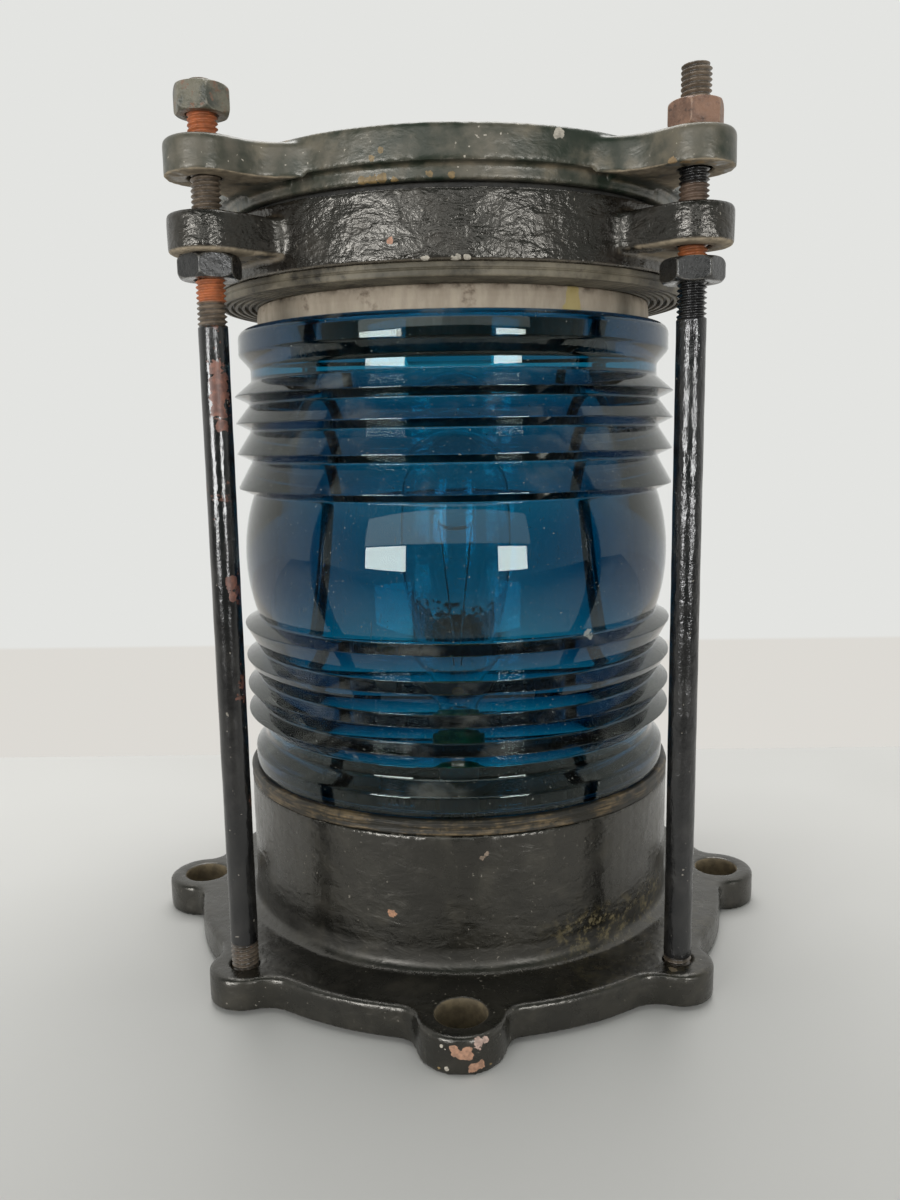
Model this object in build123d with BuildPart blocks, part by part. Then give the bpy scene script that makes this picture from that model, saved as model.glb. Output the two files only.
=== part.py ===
from build123d import *
import os
from math import cos, hypot, radians, sin, sqrt

os.makedirs("parts", exist_ok=True)

# Maritime signal light: a blue drum lens held between a cast base and a bolted top cap.
# Millimetres, +Z up, origin at the centre of the four mounting feet's bottom faces.
# The front is -Y, and one mounting ear points that way.

# Mounting flange
flange_inset = 0.7
flange_thickness = 15.4
foot_height = 1.6
foot_radius = 19.0
ear_count = 4
ear_outset = 1.3
ear_end_radius = 19.5
ear_hole_radius = 11.0
ear_root_fillet = 10.0
lug_root_fillet = 18.0
flange_edge_round = 2.2

# Cup of the base
cup_overhang = 2.6
cup_height = 65.0
cup_wall = 8.0
cup_root_fillet = 5.5
rim_setback = 2.0
rim_thickness = 9.0
recess_wall = 15.5
recess_depth = 26.0
floor_thickness = 8.0

# Tie studs, threaded at both ends
stud_count = 4
first_stud_angle = 45
stud_reach = 23.7
stud_radius = 6.35
stud_end_chamfer = 1.2
stud_socket_depth = 13.0
stud_lug_radius = 16.5
stud_hole_clearance = 0.8
front_left_stud_end = 2.5
front_right_stud_end = 14.9
rear_stud_end = 10.4

# Lens and the soft rings above and below it
base_gasket_thickness = 7.0
base_gasket_overhang = 3.1
lens_inner_radius = 95.0
lens_height = 220.6
belt_drop = 1.1
belt_wall = 14.7
groove_wall = 9.4
rib_count = 4
rib_wall = 16.6
rib_tip_land = 0.5
first_rib_offset = 34.4
last_rib_setback = 7.6
rib_pitch_step = 1.9
rib_undercut = 3.4
neck_wall = 8.4
neck_height = 6.2
band_wall = 13.9
band_height = 10.9
band_shoulder_height = 6.2
band_shoulder_sag = 1.2
lens_edge_round = 4.5
packing_inset = 10.3
packing_height = 10.8
soft_ring_width = 8.0
pressure_ring_overhang = 17.9
pressure_ring_height = 6.0
pressure_ring_cover = 6.6
ring_groove_count = 5
ring_groove_width = 1.7
ring_groove_depth = 1.8
ring_groove_pitch = 3.3
ring_groove_margin = 2.0

# Clamp ring
clamp_overhang = 1.5
clamp_height = 28.0
clamp_wall = 20.0
clamp_lug_lift = 6.0
clamp_lug_thickness = 16.0
clamp_lug_fillet = 6.0
clamp_edge_round = 2.0

# Top cap
cap_gasket_thickness = 4.0
cap_gasket_inset = 3.0
cap_lip_inset = 6.5
cap_lip_height = 6.5
cap_inset = 2.0
cap_lug_drop = 2.0
cap_lug_thickness = 14.5
cap_lug_fillet = 25.0
lug_fillet_margin = 0.7
cap_edge_round = 2.5
cap_rim_lift = 2.0
cap_rim_round = 1.5
cap_mouth_step = 1.0
cap_roof_thickness = 7.0
cap_roof_rise = 3.0
cap_shoulder_width = 10.0
cap_dome_inset = 20.0
cap_dome_height = 15.0

# Nuts of the tie studs
top_nut_across_flats = 20.8
jam_nut_across_flats = 23.4
nut_bore_clearance = 0.08
nut_corner_chamfer = 1.5
top_nut_thickness = 11.1
loose_top_nut_lift = 9.8
jam_nut_thickness = 9.6
loose_jam_nut_drop = 4.6
seat_gap = 0.1
top_nut_turns = {"front_left": 53, "front_right": 9, "rear_right": 20, "rear_left": 40}
jam_nut_turns = {"front_left": 25, "front_right": 51, "rear_right": 35, "rear_left": 15}

# Cable gland in the floor, behind the lamp pillar
gland_offset = 64.0
gland_thread_radius = 11.0
gland_bore_radius = 7.5
gland_across_flats = 30.0
gland_flange_thickness = 5.0
gland_spigot_length = 9.0
gland_nut_height = 12.0
gland_nut_floor = 3.0
gland_barrel_radius = 13.0
gland_lock_nut_thickness = 5.0
gland_thread_end = 2.0
gland_packing_radius = 10.5
gland_packing_seat = 5.0
gland_packing_height = 6.0
gland_nut_turn = 15
gland_lock_nut_turn = 10

# Lamp pillar and bayonet lampholder on the axis
pillar_foot_radius = 30.0
pillar_foot_thickness = 5.0
pillar_radius = 11.0
pillar_wall = 2.5
pillar_head_radius = 19.0
pillar_head_thickness = 4.0
pillar_height = 64.0
pillar_screw_circle = 23.0
pillar_screw_count = 3
pillar_screw_angle = 30
lead_slot_width = 8.0
lead_slot_reach = 7.5
lead_slot_height = 14.0
holder_wall = 2.4
holder_height = 44.0
holder_collar_radius = 17.5
holder_collar_height = 8.0
insulator_height = 18.0
insulator_clearance = 0.1
plunger_radius = 2.4
plunger_offset = 5.0
plunger_lift = 2.5
plunger_depth = 8.0
plunger_travel = 2.5
plunger_gap = 0.3

# Bayonet bulb
bulb_cap_radius = 11.0
bulb_cap_height = 26.0
bulb_clearance = 0.3
bayonet_pin_radius = 1.0
bayonet_pin_reach = 2.0
bayonet_pin_height = 9.0
bayonet_twist = 18.0
bayonet_slot_reach = 30.0
bayonet_slot_depth = 5.0
bulb_neck_radius = 12.6
bulb_globe_radius = 30.0
bulb_wall = 0.9
bulb_seat_depth = 3.0
bulb_cap_wall = 0.8
bulb_cap_floor = 1.5
bulb_contact_radius = 2.8
bulb_neck_height = 9.0
stem_radius = 4.0
stem_height = 24.0
filament_wire_radius = 0.45
filament_spread = 9.0

# Terminals on the floor
terminal_offset = 62.0
terminal_length = 40.0
terminal_width = 20.0
terminal_height = 16.0
terminal_corner_radius = 2.0
terminal_pitch = 24.0
terminal_slot_width = 10.0
terminal_slot_depth = 5.0
terminal_bar_thickness = 2.5
terminal_bar_inset = 1.0
screw_radius = 2.5
screw_head_radius = 4.6
screw_head_height = 3.0
screw_depth = 6.0
earth_boss_radius = 8.0
earth_boss_height = 5.0
screw_slot_width = 1.2
screw_slot_depth = 1.2

# Radii that follow from the lens's bore
band_radius = lens_inner_radius + band_wall
belt_crest_radius = lens_inner_radius + belt_wall
groove_radius = lens_inner_radius + groove_wall
rib_tip_radius = lens_inner_radius + rib_wall
neck_radius = lens_inner_radius + neck_wall
base_gasket_radius = band_radius + base_gasket_overhang
rim_inner_radius = lens_inner_radius + rim_setback
cup_radius = band_radius + cup_overhang
recess_radius = cup_radius - recess_wall
packing_radius = band_radius - packing_inset
pressure_ring_radius = packing_radius + pressure_ring_overhang
pressure_ring_inner_radius = packing_radius - pressure_ring_cover
clamp_radius = pressure_ring_radius + clamp_overhang
clamp_inner_radius = clamp_radius - clamp_wall
cap_radius = clamp_radius - cap_inset
cap_lip_radius = clamp_radius - cap_lip_inset
cap_gasket_radius = cap_lip_radius - cap_gasket_inset
cap_inner_radius = clamp_inner_radius - cap_mouth_step
cap_shoulder_radius = cap_radius - cap_shoulder_width
cap_dome_radius = cap_radius - cap_dome_inset
stud_circle_radius = clamp_radius + stud_reach
flange_radius = stud_circle_radius - flange_inset
ear_circle_radius = stud_circle_radius + ear_outset

# Heights of the lens's ribs, necks and bands, measured from the belt's middle
band_start = lens_height / 2 - band_height
neck_end = band_start - band_shoulder_height
neck_start = neck_end - neck_height
rib_span = neck_start - last_rib_setback - first_rib_offset
rib_pitch = rib_span / (rib_count - 1) + rib_pitch_step * (rib_count - 2) / 2

# How closely a radius or height must agree when an edge is picked by it
match = 0.01

# Heights that follow from the stack
flange_top = foot_height + flange_thickness
cup_top = flange_top + cup_height
floor_top = recess_depth + floor_thickness
lens_bottom = cup_top + base_gasket_thickness
lens_top = lens_bottom + lens_height
belt_centre = lens_bottom + lens_height / 2 - belt_drop
packing_top = lens_top + packing_height
clamp_bottom = packing_top + pressure_ring_height
clamp_top = clamp_bottom + clamp_height
clamp_lug_bottom = clamp_bottom + clamp_lug_lift
cap_bottom = clamp_top + cap_gasket_thickness
cap_shelf = cap_bottom + cap_lip_height
cap_lug_bottom = cap_shelf - cap_lug_drop
cap_lug_top = cap_lug_bottom + cap_lug_thickness
cap_rim_top = cap_lug_top + cap_rim_lift
cap_roof = cap_rim_top + cap_roof_rise
stud_bottom = flange_top - stud_socket_depth
pillar_top = floor_top + pillar_height
holder_top = pillar_top + holder_height
insulator_top = pillar_top + insulator_height
bulb_bottom = insulator_top + plunger_lift + plunger_gap
bulb_cap_top = bulb_bottom + bulb_cap_height
stud_angles = {
    "front_left": first_stud_angle + 180,
    "front_right": first_stud_angle + 270,
    "rear_right": first_stud_angle,
    "rear_left": first_stud_angle + 90,
}
top_nut_seats = {
    "front_left": cap_lug_top + loose_top_nut_lift,
    "front_right": cap_lug_top + seat_gap,
    "rear_right": cap_lug_top + seat_gap,
    "rear_left": cap_lug_top + seat_gap,
}
stud_ends = {
    "front_left": front_left_stud_end,
    "front_right": front_right_stud_end,
    "rear_right": rear_stud_end,
    "rear_left": rear_stud_end,
}


def stud_place(name, height):
    """The plane across one stud's axis at a height."""
    angle = radians(stud_angles[name])
    x = stud_circle_radius * cos(angle)
    y = stud_circle_radius * sin(angle)
    return Plane.XY.offset(height) * Pos(x, y, 0)


def ring_solid(outer_radius, inner_radius, bottom, height):
    """A plain ring around the lamp's axis."""
    with BuildPart() as ring:
        with BuildSketch(Plane.XY.offset(bottom)):
            Circle(outer_radius)
            Circle(inner_radius, mode=Mode.SUBTRACT)
        extrude(amount=height)
    return ring.part


def lug_outline(body_radius, root_fillet):
    """A round body with four lugs that carry the studs, seen from above."""
    with BuildSketch() as outline:
        Circle(body_radius)
        with PolarLocations(stud_circle_radius / 2, stud_count, start_angle=first_stud_angle):
            Rectangle(stud_circle_radius, 2 * stud_lug_radius)
        with PolarLocations(stud_circle_radius, stud_count, start_angle=first_stud_angle):
            Circle(stud_lug_radius)
        roots = outline.vertices().filter_by(lambda v: abs(hypot(v.X, v.Y) - body_radius) < match)
        fillet(roots, min(root_fillet, stud_circle_radius - body_radius - lug_fillet_margin))
    return outline.sketch


def save(part, name):
    """Labels one finished piece and writes its file."""
    part.label = name
    export_step(part, "parts/" + name + ".step")


# Base casting: flange, four ears, four stud lugs and the cup
with BuildPart() as base_casting:
    with BuildSketch(Plane.XY.offset(foot_height)) as flange_outline:
        Circle(flange_radius)
        with PolarLocations(ear_circle_radius, ear_count):
            Circle(ear_end_radius)
        ear_roots = flange_outline.vertices().filter_by(
            lambda v: abs(hypot(v.X, v.Y) - flange_radius) < match
        )
        fillet(ear_roots, ear_root_fillet)
        with PolarLocations(stud_circle_radius, stud_count, start_angle=first_stud_angle):
            Circle(stud_lug_radius)
        lug_roots = flange_outline.vertices().filter_by(
            lambda v: abs(hypot(v.X, v.Y) - flange_radius) < match
            and abs(abs(v.X) - abs(v.Y)) < flange_radius / 2
        )
        fillet(lug_roots, lug_root_fillet)
    extrude(amount=flange_thickness)
    top_edges = base_casting.faces().sort_by(Axis.Z)[-1].outer_wire().edges()
    fillet(top_edges, flange_edge_round)
    with BuildSketch():
        with PolarLocations(ear_circle_radius, ear_count):
            Circle(foot_radius)
    extrude(amount=foot_height)
    with BuildSketch(Plane.XY.offset(flange_top)):
        Circle(cup_radius)
    extrude(amount=cup_height)
    cup_root = base_casting.edges().filter_by(
        lambda e: e.geom_type == GeomType.CIRCLE
        and abs(e.radius - cup_radius) < match
        and abs(e.center().Z - flange_top) < match
    )
    fillet(cup_root, cup_root_fillet)
    with BuildSketch():
        Circle(recess_radius)
    extrude(amount=recess_depth, mode=Mode.SUBTRACT)
    with BuildSketch(Plane.XY.offset(floor_top)):
        Circle(cup_radius - cup_wall)
    extrude(amount=cup_top - rim_thickness - floor_top, mode=Mode.SUBTRACT)
    with BuildSketch(Plane.XY.offset(floor_top)):
        Circle(rim_inner_radius)
    extrude(amount=cup_top - floor_top, mode=Mode.SUBTRACT)
    with BuildSketch(Plane.XY.offset(floor_top)):
        with Locations((terminal_offset, 0)):
            Circle(earth_boss_radius)
    extrude(amount=earth_boss_height)
    with BuildSketch():
        with PolarLocations(ear_circle_radius, ear_count):
            Circle(ear_hole_radius)
    extrude(amount=flange_top, mode=Mode.SUBTRACT)
    with BuildSketch(Plane.XY.offset(stud_bottom)):
        with PolarLocations(stud_circle_radius, stud_count, start_angle=first_stud_angle):
            Circle(stud_radius)
    extrude(amount=stud_socket_depth, mode=Mode.SUBTRACT)
    with BuildSketch(Plane.XY.offset(recess_depth)):
        with Locations((0, gland_offset)):
            Circle(gland_thread_radius)
    extrude(amount=floor_thickness, mode=Mode.SUBTRACT)
    with BuildSketch(Plane.XY.offset(floor_top - screw_depth)):
        with PolarLocations(pillar_screw_circle, pillar_screw_count, start_angle=pillar_screw_angle):
            Circle(screw_radius)
        with Locations((-terminal_offset, 0)):
            Circle(screw_radius)
    extrude(amount=screw_depth, mode=Mode.SUBTRACT)
    with BuildSketch(Plane.XY.offset(floor_top + earth_boss_height - screw_depth)):
        with Locations((terminal_offset, 0)):
            Circle(screw_radius)
    extrude(amount=screw_depth, mode=Mode.SUBTRACT)
save(base_casting.part, "base_casting")

# Soft ring under the glass
base_gasket = ring_solid(base_gasket_radius, rim_inner_radius, cup_top, base_gasket_thickness)
save(base_gasket, "base_gasket")


def rib_tip_offset(index):
    """Height of one rib's tip above the belt's middle; the ribs close up away from it."""
    return first_rib_offset + index * rib_pitch - rib_pitch_step * index * (index - 1) / 2


def rib_side(direction):
    """Outer points from the belt's edge to the end band, up (1) or down (-1)."""
    points = [(groove_radius, belt_centre + direction * (first_rib_offset - rib_undercut))]
    for index in range(rib_count):
        tip = rib_tip_offset(index)
        points.append((rib_tip_radius, belt_centre + direction * tip))
        points.append((rib_tip_radius, belt_centre + direction * (tip + rib_tip_land)))
        if index < rib_count - 1:
            groove = rib_tip_offset(index + 1) - rib_undercut
            points.append((groove_radius, belt_centre + direction * groove))
    points.append((neck_radius, belt_centre + direction * neck_start))
    points.append((neck_radius, belt_centre + direction * neck_end))
    return points


# Drum lens: a belt in the middle and four prism ribs above and below it
with BuildPart() as fresnel_lens:
    with BuildSketch(Plane.XZ):
        upper = rib_side(1)
        lower = rib_side(-1)
        upper_band = (band_radius, belt_centre + band_start)
        lower_band = (band_radius, belt_centre - band_start)
        with BuildLine():
            ThreePointArc(lower[0], (belt_crest_radius, belt_centre), upper[0])
            Polyline(*upper)
            SagittaArc(upper[-1], upper_band, band_shoulder_sag)
            Polyline(
                upper_band,
                (band_radius, lens_top),
                (lens_inner_radius, lens_top),
                (lens_inner_radius, lens_bottom),
                (band_radius, lens_bottom),
                lower_band,
            )
            SagittaArc(lower_band, lower[-1], band_shoulder_sag)
            Polyline(*reversed(lower))
        make_face()
    revolve(axis=Axis.Z)
    rim_edge = fresnel_lens.edges().filter_by(
        lambda e: e.geom_type == GeomType.CIRCLE
        and abs(e.radius - band_radius) < match
        and abs(e.center().Z - lens_top) < match
    )
    fillet(rim_edge, lens_edge_round)
save(fresnel_lens.part, "fresnel_lens")

# Packing ring on the glass, and the grooved ring that presses on it
lens_packing = ring_solid(packing_radius, packing_radius - soft_ring_width, lens_top, packing_height)
save(lens_packing, "lens_packing")

with BuildPart() as pressure_ring:
    with BuildSketch(Plane.XY.offset(packing_top)):
        Circle(pressure_ring_radius)
        Circle(pressure_ring_inner_radius, mode=Mode.SUBTRACT)
    extrude(amount=pressure_ring_height)
    with BuildSketch(Plane.XY.offset(packing_top)):
        for index in range(ring_groove_count):
            groove_outer = pressure_ring_radius - ring_groove_margin - index * ring_groove_pitch
            Circle(groove_outer)
            Circle(groove_outer - ring_groove_width, mode=Mode.SUBTRACT)
    extrude(amount=ring_groove_depth, mode=Mode.SUBTRACT)
save(pressure_ring.part, "pressure_ring")

# Clamp ring with its four lugs
clamp_outline = lug_outline(clamp_radius, clamp_lug_fillet)
with BuildPart() as clamp_ring:
    with BuildSketch(Plane.XY.offset(clamp_lug_bottom)):
        add(clamp_outline)
    extrude(amount=clamp_lug_thickness)
    lug_edges = clamp_ring.faces().sort_by(Axis.Z)[-1].outer_wire().edges()
    lug_edges += clamp_ring.faces().sort_by(Axis.Z)[0].outer_wire().edges()
    fillet(lug_edges, clamp_edge_round)
    with BuildSketch(Plane.XY.offset(clamp_bottom)):
        Circle(clamp_radius)
    extrude(amount=clamp_height)
    with BuildSketch(Plane.XY.offset(clamp_bottom)):
        Circle(clamp_inner_radius)
    extrude(amount=clamp_height, mode=Mode.SUBTRACT)
    with BuildSketch(Plane.XY.offset(clamp_lug_bottom)):
        with PolarLocations(stud_circle_radius, stud_count, start_angle=first_stud_angle):
            Circle(stud_radius + stud_hole_clearance)
    extrude(amount=clamp_lug_thickness, mode=Mode.SUBTRACT)
save(clamp_ring.part, "clamp_ring")

# Gasket between the clamp ring and the cap
cap_gasket = ring_solid(cap_gasket_radius, clamp_inner_radius, clamp_top, cap_gasket_thickness)
save(cap_gasket, "cap_gasket")

dome_ball_radius = (cap_dome_radius**2 + cap_dome_height**2) / (2 * cap_dome_height)
dome_ball_centre = cap_roof + cap_dome_height - dome_ball_radius


def dome_point(radius, depth):
    """A point of the cap's round roof, or of a surface at a depth under it."""
    return (radius, dome_ball_centre + sqrt((dome_ball_radius - depth) ** 2 - radius**2))


# Top cap: a shallow dome with a lip and four lugs
cap_outline = lug_outline(cap_radius, cap_lug_fillet)
with BuildPart() as top_cap:
    with BuildSketch(Plane.XY.offset(cap_shelf)):
        add(cap_outline)
    extrude(amount=cap_lug_top - cap_shelf)
    with BuildSketch(Plane.XY.offset(cap_lug_bottom)):
        add(cap_outline)
        Circle(cap_radius, mode=Mode.SUBTRACT)
        with PolarLocations(stud_circle_radius / 2, stud_count, start_angle=first_stud_angle):
            Rectangle(stud_circle_radius, 2 * stud_lug_radius)
    extrude(amount=cap_lug_drop)
    cap_edges = top_cap.faces().sort_by(Axis.Z)[-1].outer_wire().edges()
    fillet(cap_edges, cap_edge_round)
    with BuildSketch(Plane.XY.offset(cap_bottom)):
        Circle(cap_lip_radius)
    extrude(amount=cap_lip_height)
    with BuildSketch(Plane.XZ):
        with BuildLine():
            Polyline((0, cap_shelf), (cap_radius, cap_shelf), (cap_radius, cap_rim_top - cap_rim_round))
            TangentArc(
                (cap_radius, cap_rim_top - cap_rim_round),
                (cap_radius - cap_rim_round, cap_rim_top),
                tangent=(0, 1),
            )
            Line((cap_radius - cap_rim_round, cap_rim_top), (cap_shoulder_radius, cap_rim_top))
            Line((cap_shoulder_radius, cap_rim_top), dome_point(cap_dome_radius, 0))
            ThreePointArc(
                dome_point(cap_dome_radius, 0), dome_point(cap_dome_radius / 2, 0), dome_point(0, 0)
            )
            Line(dome_point(0, 0), (0, cap_shelf))
        make_face()
    revolve(axis=Axis.Z)
    with BuildSketch(Plane.XZ):
        with BuildLine():
            Polyline(
                dome_point(0, cap_roof_thickness),
                (0, cap_bottom),
                (cap_inner_radius, cap_bottom),
                (cap_inner_radius, cap_shelf),
                (cap_inner_radius - cap_roof_thickness, cap_shelf),
                dome_point(cap_inner_radius - cap_roof_thickness, cap_roof_thickness),
            )
            ThreePointArc(
                dome_point(cap_inner_radius - cap_roof_thickness, cap_roof_thickness),
                dome_point(cap_inner_radius / 2, cap_roof_thickness),
                dome_point(0, cap_roof_thickness),
            )
        make_face()
    revolve(axis=Axis.Z, mode=Mode.SUBTRACT)
    with BuildSketch(Plane.XY.offset(cap_lug_bottom)):
        with PolarLocations(stud_circle_radius, stud_count, start_angle=first_stud_angle):
            Circle(stud_radius + stud_hole_clearance)
    extrude(amount=cap_lug_thickness, mode=Mode.SUBTRACT)
save(top_cap.part, "top_cap")

# Tie studs: round rods with chamfered ends; the visual model adds their threads
for place in stud_angles:
    stud_top = top_nut_seats[place] + top_nut_thickness + stud_ends[place]
    with BuildPart() as tie_stud:
        with BuildSketch(stud_place(place, stud_bottom)):
            Circle(stud_radius)
        extrude(amount=stud_top - stud_bottom)
        chamfer(tie_stud.edges().filter_by(GeomType.CIRCLE), stud_end_chamfer)
    save(tie_stud.part, "tie_stud_" + place)


def hex_nut(plane, thickness, turn, flats, bore=stud_radius + nut_bore_clearance):
    """A hexagon nut with turned corners, standing on a plane."""
    corner = flats / sqrt(3)
    drop = nut_corner_chamfer
    with BuildPart() as nut:
        with BuildSketch(Plane.XY):
            RegularPolygon(flats / 2, 6, major_radius=False, rotation=turn)
        extrude(amount=thickness)
        with BuildSketch(Plane.XZ):
            with BuildLine():
                Polyline(
                    (0, 0),
                    (flats / 2, 0),
                    (corner, drop),
                    (corner, thickness - drop),
                    (flats / 2, thickness),
                    (0, thickness),
                    (0, 0),
                )
            make_face()
        revolve(axis=Axis.Z, mode=Mode.INTERSECT)
        with BuildSketch(Plane.XY):
            Circle(bore)
        extrude(amount=thickness, mode=Mode.SUBTRACT)
    return plane * nut.part


for place in stud_angles:
    top_seat = stud_place(place, top_nut_seats[place])
    save(hex_nut(top_seat, top_nut_thickness, top_nut_turns[place], top_nut_across_flats), "top_nut_" + place)
    drop = loose_jam_nut_drop if place == "front_right" else seat_gap
    jam_seat = stud_place(place, clamp_lug_bottom - drop - jam_nut_thickness)
    save(hex_nut(jam_seat, jam_nut_thickness, jam_nut_turns[place], jam_nut_across_flats), "jam_nut_" + place)

# Cable gland: a body through the cup's floor, its lock nut, packing and gland nut
barrel_bottom = recess_depth - gland_flange_thickness - gland_spigot_length
packing_shoulder = barrel_bottom + gland_packing_seat
gland_nut_bottom = packing_shoulder - gland_packing_height - seat_gap - gland_nut_floor
gland_top = floor_top + gland_lock_nut_thickness + gland_thread_end
with BuildPart() as gland_body:
    with BuildSketch(Plane.XY.offset(recess_depth - gland_flange_thickness)):
        with Locations((0, gland_offset)):
            RegularPolygon(gland_across_flats / 2, 6, major_radius=False)
    extrude(amount=gland_flange_thickness)
    with BuildSketch(Plane.XY.offset(barrel_bottom)):
        with Locations((0, gland_offset)):
            Circle(gland_barrel_radius)
    extrude(amount=gland_spigot_length)
    with BuildSketch(Plane.XY.offset(recess_depth)):
        with Locations((0, gland_offset)):
            Circle(gland_thread_radius)
    extrude(amount=gland_top - recess_depth)
    with BuildSketch(Plane.XY.offset(barrel_bottom)):
        with Locations((0, gland_offset)):
            Circle(gland_bore_radius)
    extrude(amount=gland_top - barrel_bottom, mode=Mode.SUBTRACT)
    with BuildSketch(Plane.XY.offset(barrel_bottom)):
        with Locations((0, gland_offset)):
            Circle(gland_packing_radius)
    extrude(amount=gland_packing_seat, mode=Mode.SUBTRACT)
save(gland_body.part, "gland_body")

with BuildPart() as gland_packing:
    with BuildSketch(Plane.XY.offset(packing_shoulder - gland_packing_height)):
        with Locations((0, gland_offset)):
            Circle(gland_packing_radius)
            Circle(gland_bore_radius, mode=Mode.SUBTRACT)
    extrude(amount=gland_packing_height)
save(gland_packing.part, "gland_packing")

with BuildPart() as gland_nut:
    with BuildSketch(Plane.XY.offset(gland_nut_bottom)):
        with Locations((0, gland_offset)):
            RegularPolygon(gland_across_flats / 2, 6, major_radius=False, rotation=gland_nut_turn)
    extrude(amount=gland_nut_height)
    with BuildSketch(Plane.XY.offset(gland_nut_bottom)):
        with Locations((0, gland_offset)):
            Circle(gland_bore_radius)
    extrude(amount=gland_nut_height, mode=Mode.SUBTRACT)
    with BuildSketch(Plane.XY.offset(gland_nut_bottom + gland_nut_floor)):
        with Locations((0, gland_offset)):
            Circle(gland_barrel_radius + nut_bore_clearance)
    extrude(amount=gland_nut_height - gland_nut_floor, mode=Mode.SUBTRACT)
save(gland_nut.part, "gland_nut")

lock_nut_place = Plane.XY.offset(floor_top) * Pos(0, gland_offset, 0)
gland_lock_nut = hex_nut(
    lock_nut_place,
    gland_lock_nut_thickness,
    gland_lock_nut_turn,
    gland_across_flats,
    gland_thread_radius + nut_bore_clearance,
)
save(gland_lock_nut, "gland_lock_nut")

# Lamp pillar: a hollow post with a screwed foot and a head plate
pillar_bore = pillar_radius - pillar_wall
with BuildPart() as lamp_pillar:
    with BuildSketch(Plane.XY.offset(floor_top)):
        Circle(pillar_foot_radius)
    extrude(amount=pillar_foot_thickness)
    with BuildSketch(Plane.XY.offset(floor_top)):
        Circle(pillar_radius)
    extrude(amount=pillar_height)
    with BuildSketch(Plane.XY.offset(pillar_top - pillar_head_thickness)):
        Circle(pillar_head_radius)
    extrude(amount=pillar_head_thickness)
    with BuildSketch(Plane.XY.offset(floor_top)):
        Circle(pillar_bore)
    extrude(amount=pillar_height, mode=Mode.SUBTRACT)
    with BuildSketch(Plane.XY.offset(floor_top)):
        with PolarLocations(pillar_screw_circle, pillar_screw_count, start_angle=pillar_screw_angle):
            Circle(screw_radius)
    extrude(amount=pillar_foot_thickness, mode=Mode.SUBTRACT)
    with BuildSketch(Plane.XY.offset(floor_top + pillar_foot_thickness)):
        with Locations((0, pillar_radius)):
            Rectangle(lead_slot_width, lead_slot_reach)
    extrude(amount=lead_slot_height, mode=Mode.SUBTRACT)
save(lamp_pillar.part, "lamp_pillar")


def cheese_screws(points, seat, depth):
    """Slotted cheese-head screws whose heads sit at one height."""
    with BuildPart() as screws:
        with BuildSketch(Plane.XY.offset(seat)):
            with Locations(*points):
                Circle(screw_head_radius)
        extrude(amount=screw_head_height)
        with BuildSketch(Plane.XY.offset(seat + screw_head_height - screw_slot_depth)):
            with Locations(*points):
                Rectangle(2 * screw_head_radius, screw_slot_width)
        extrude(amount=screw_slot_depth, mode=Mode.SUBTRACT)
        with BuildSketch(Plane.XY.offset(seat - depth)):
            with Locations(*points):
                Circle(screw_radius)
        extrude(amount=depth)
    return screws.part


foot_points = []
for index in range(pillar_screw_count):
    angle = radians(pillar_screw_angle + index * 360 / pillar_screw_count)
    foot_points.append((pillar_screw_circle * cos(angle), pillar_screw_circle * sin(angle)))
foot_screw_depth = pillar_foot_thickness + screw_depth
save(cheese_screws(foot_points, floor_top + pillar_foot_thickness, foot_screw_depth), "pillar_screws")

# Bayonet lampholder: shell with two hooked slots, insulator and two sprung contacts
holder_bore = bulb_cap_radius + bulb_clearance
pin_height = bulb_bottom + bayonet_pin_height
slot_half = bayonet_pin_radius + bulb_clearance
with BuildPart() as lampholder_shell:
    with BuildSketch(Plane.XY.offset(pillar_top)):
        Circle(holder_bore + holder_wall)
    extrude(amount=holder_height)
    with BuildSketch(Plane.XY.offset(pillar_top)):
        Circle(holder_collar_radius)
    extrude(amount=holder_collar_height)
    with BuildSketch(Plane.XY.offset(pillar_top)):
        Circle(holder_bore)
    extrude(amount=holder_height, mode=Mode.SUBTRACT)
    with BuildSketch(Plane.XY.offset(pin_height - slot_half)):
        with Locations(Rotation(0, 0, bayonet_twist)):
            Rectangle(2 * bayonet_slot_reach, 2 * slot_half)
    extrude(amount=holder_top - pin_height + slot_half, mode=Mode.SUBTRACT)
    for side in (0, 180):
        with BuildSketch(Plane.XZ.rotated((0, 0, side))):
            with Locations((holder_bore, pin_height)):
                Rectangle(2 * bayonet_slot_depth, 2 * slot_half)
        revolve(axis=Axis.Z, revolution_arc=bayonet_twist, mode=Mode.SUBTRACT)
        with BuildSketch(Plane.YZ.rotated((0, 0, side))):
            with Locations((0, pin_height)):
                Circle(slot_half)
        extrude(amount=bayonet_slot_reach, mode=Mode.SUBTRACT)
save(lampholder_shell.part, "lampholder_shell")

contact_points = [(-plunger_offset, 0), (plunger_offset, 0)]
with BuildPart() as lampholder_insulator:
    with BuildSketch(Plane.XY.offset(pillar_top)):
        Circle(holder_bore - insulator_clearance)
    extrude(amount=insulator_height)
    with BuildSketch(Plane.XY.offset(insulator_top - plunger_depth)):
        with Locations(*contact_points):
            Circle(plunger_radius + seat_gap)
    extrude(amount=plunger_depth, mode=Mode.SUBTRACT)
save(lampholder_insulator.part, "lampholder_insulator")

plunger_bottom = insulator_top - plunger_depth + plunger_travel + seat_gap
with BuildPart() as contact_plungers:
    with BuildSketch(Plane.XY.offset(plunger_bottom)):
        with Locations(*contact_points):
            Circle(plunger_radius)
    extrude(amount=insulator_top + plunger_lift - plunger_bottom)
save(contact_plungers.part, "contact_plungers")

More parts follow.
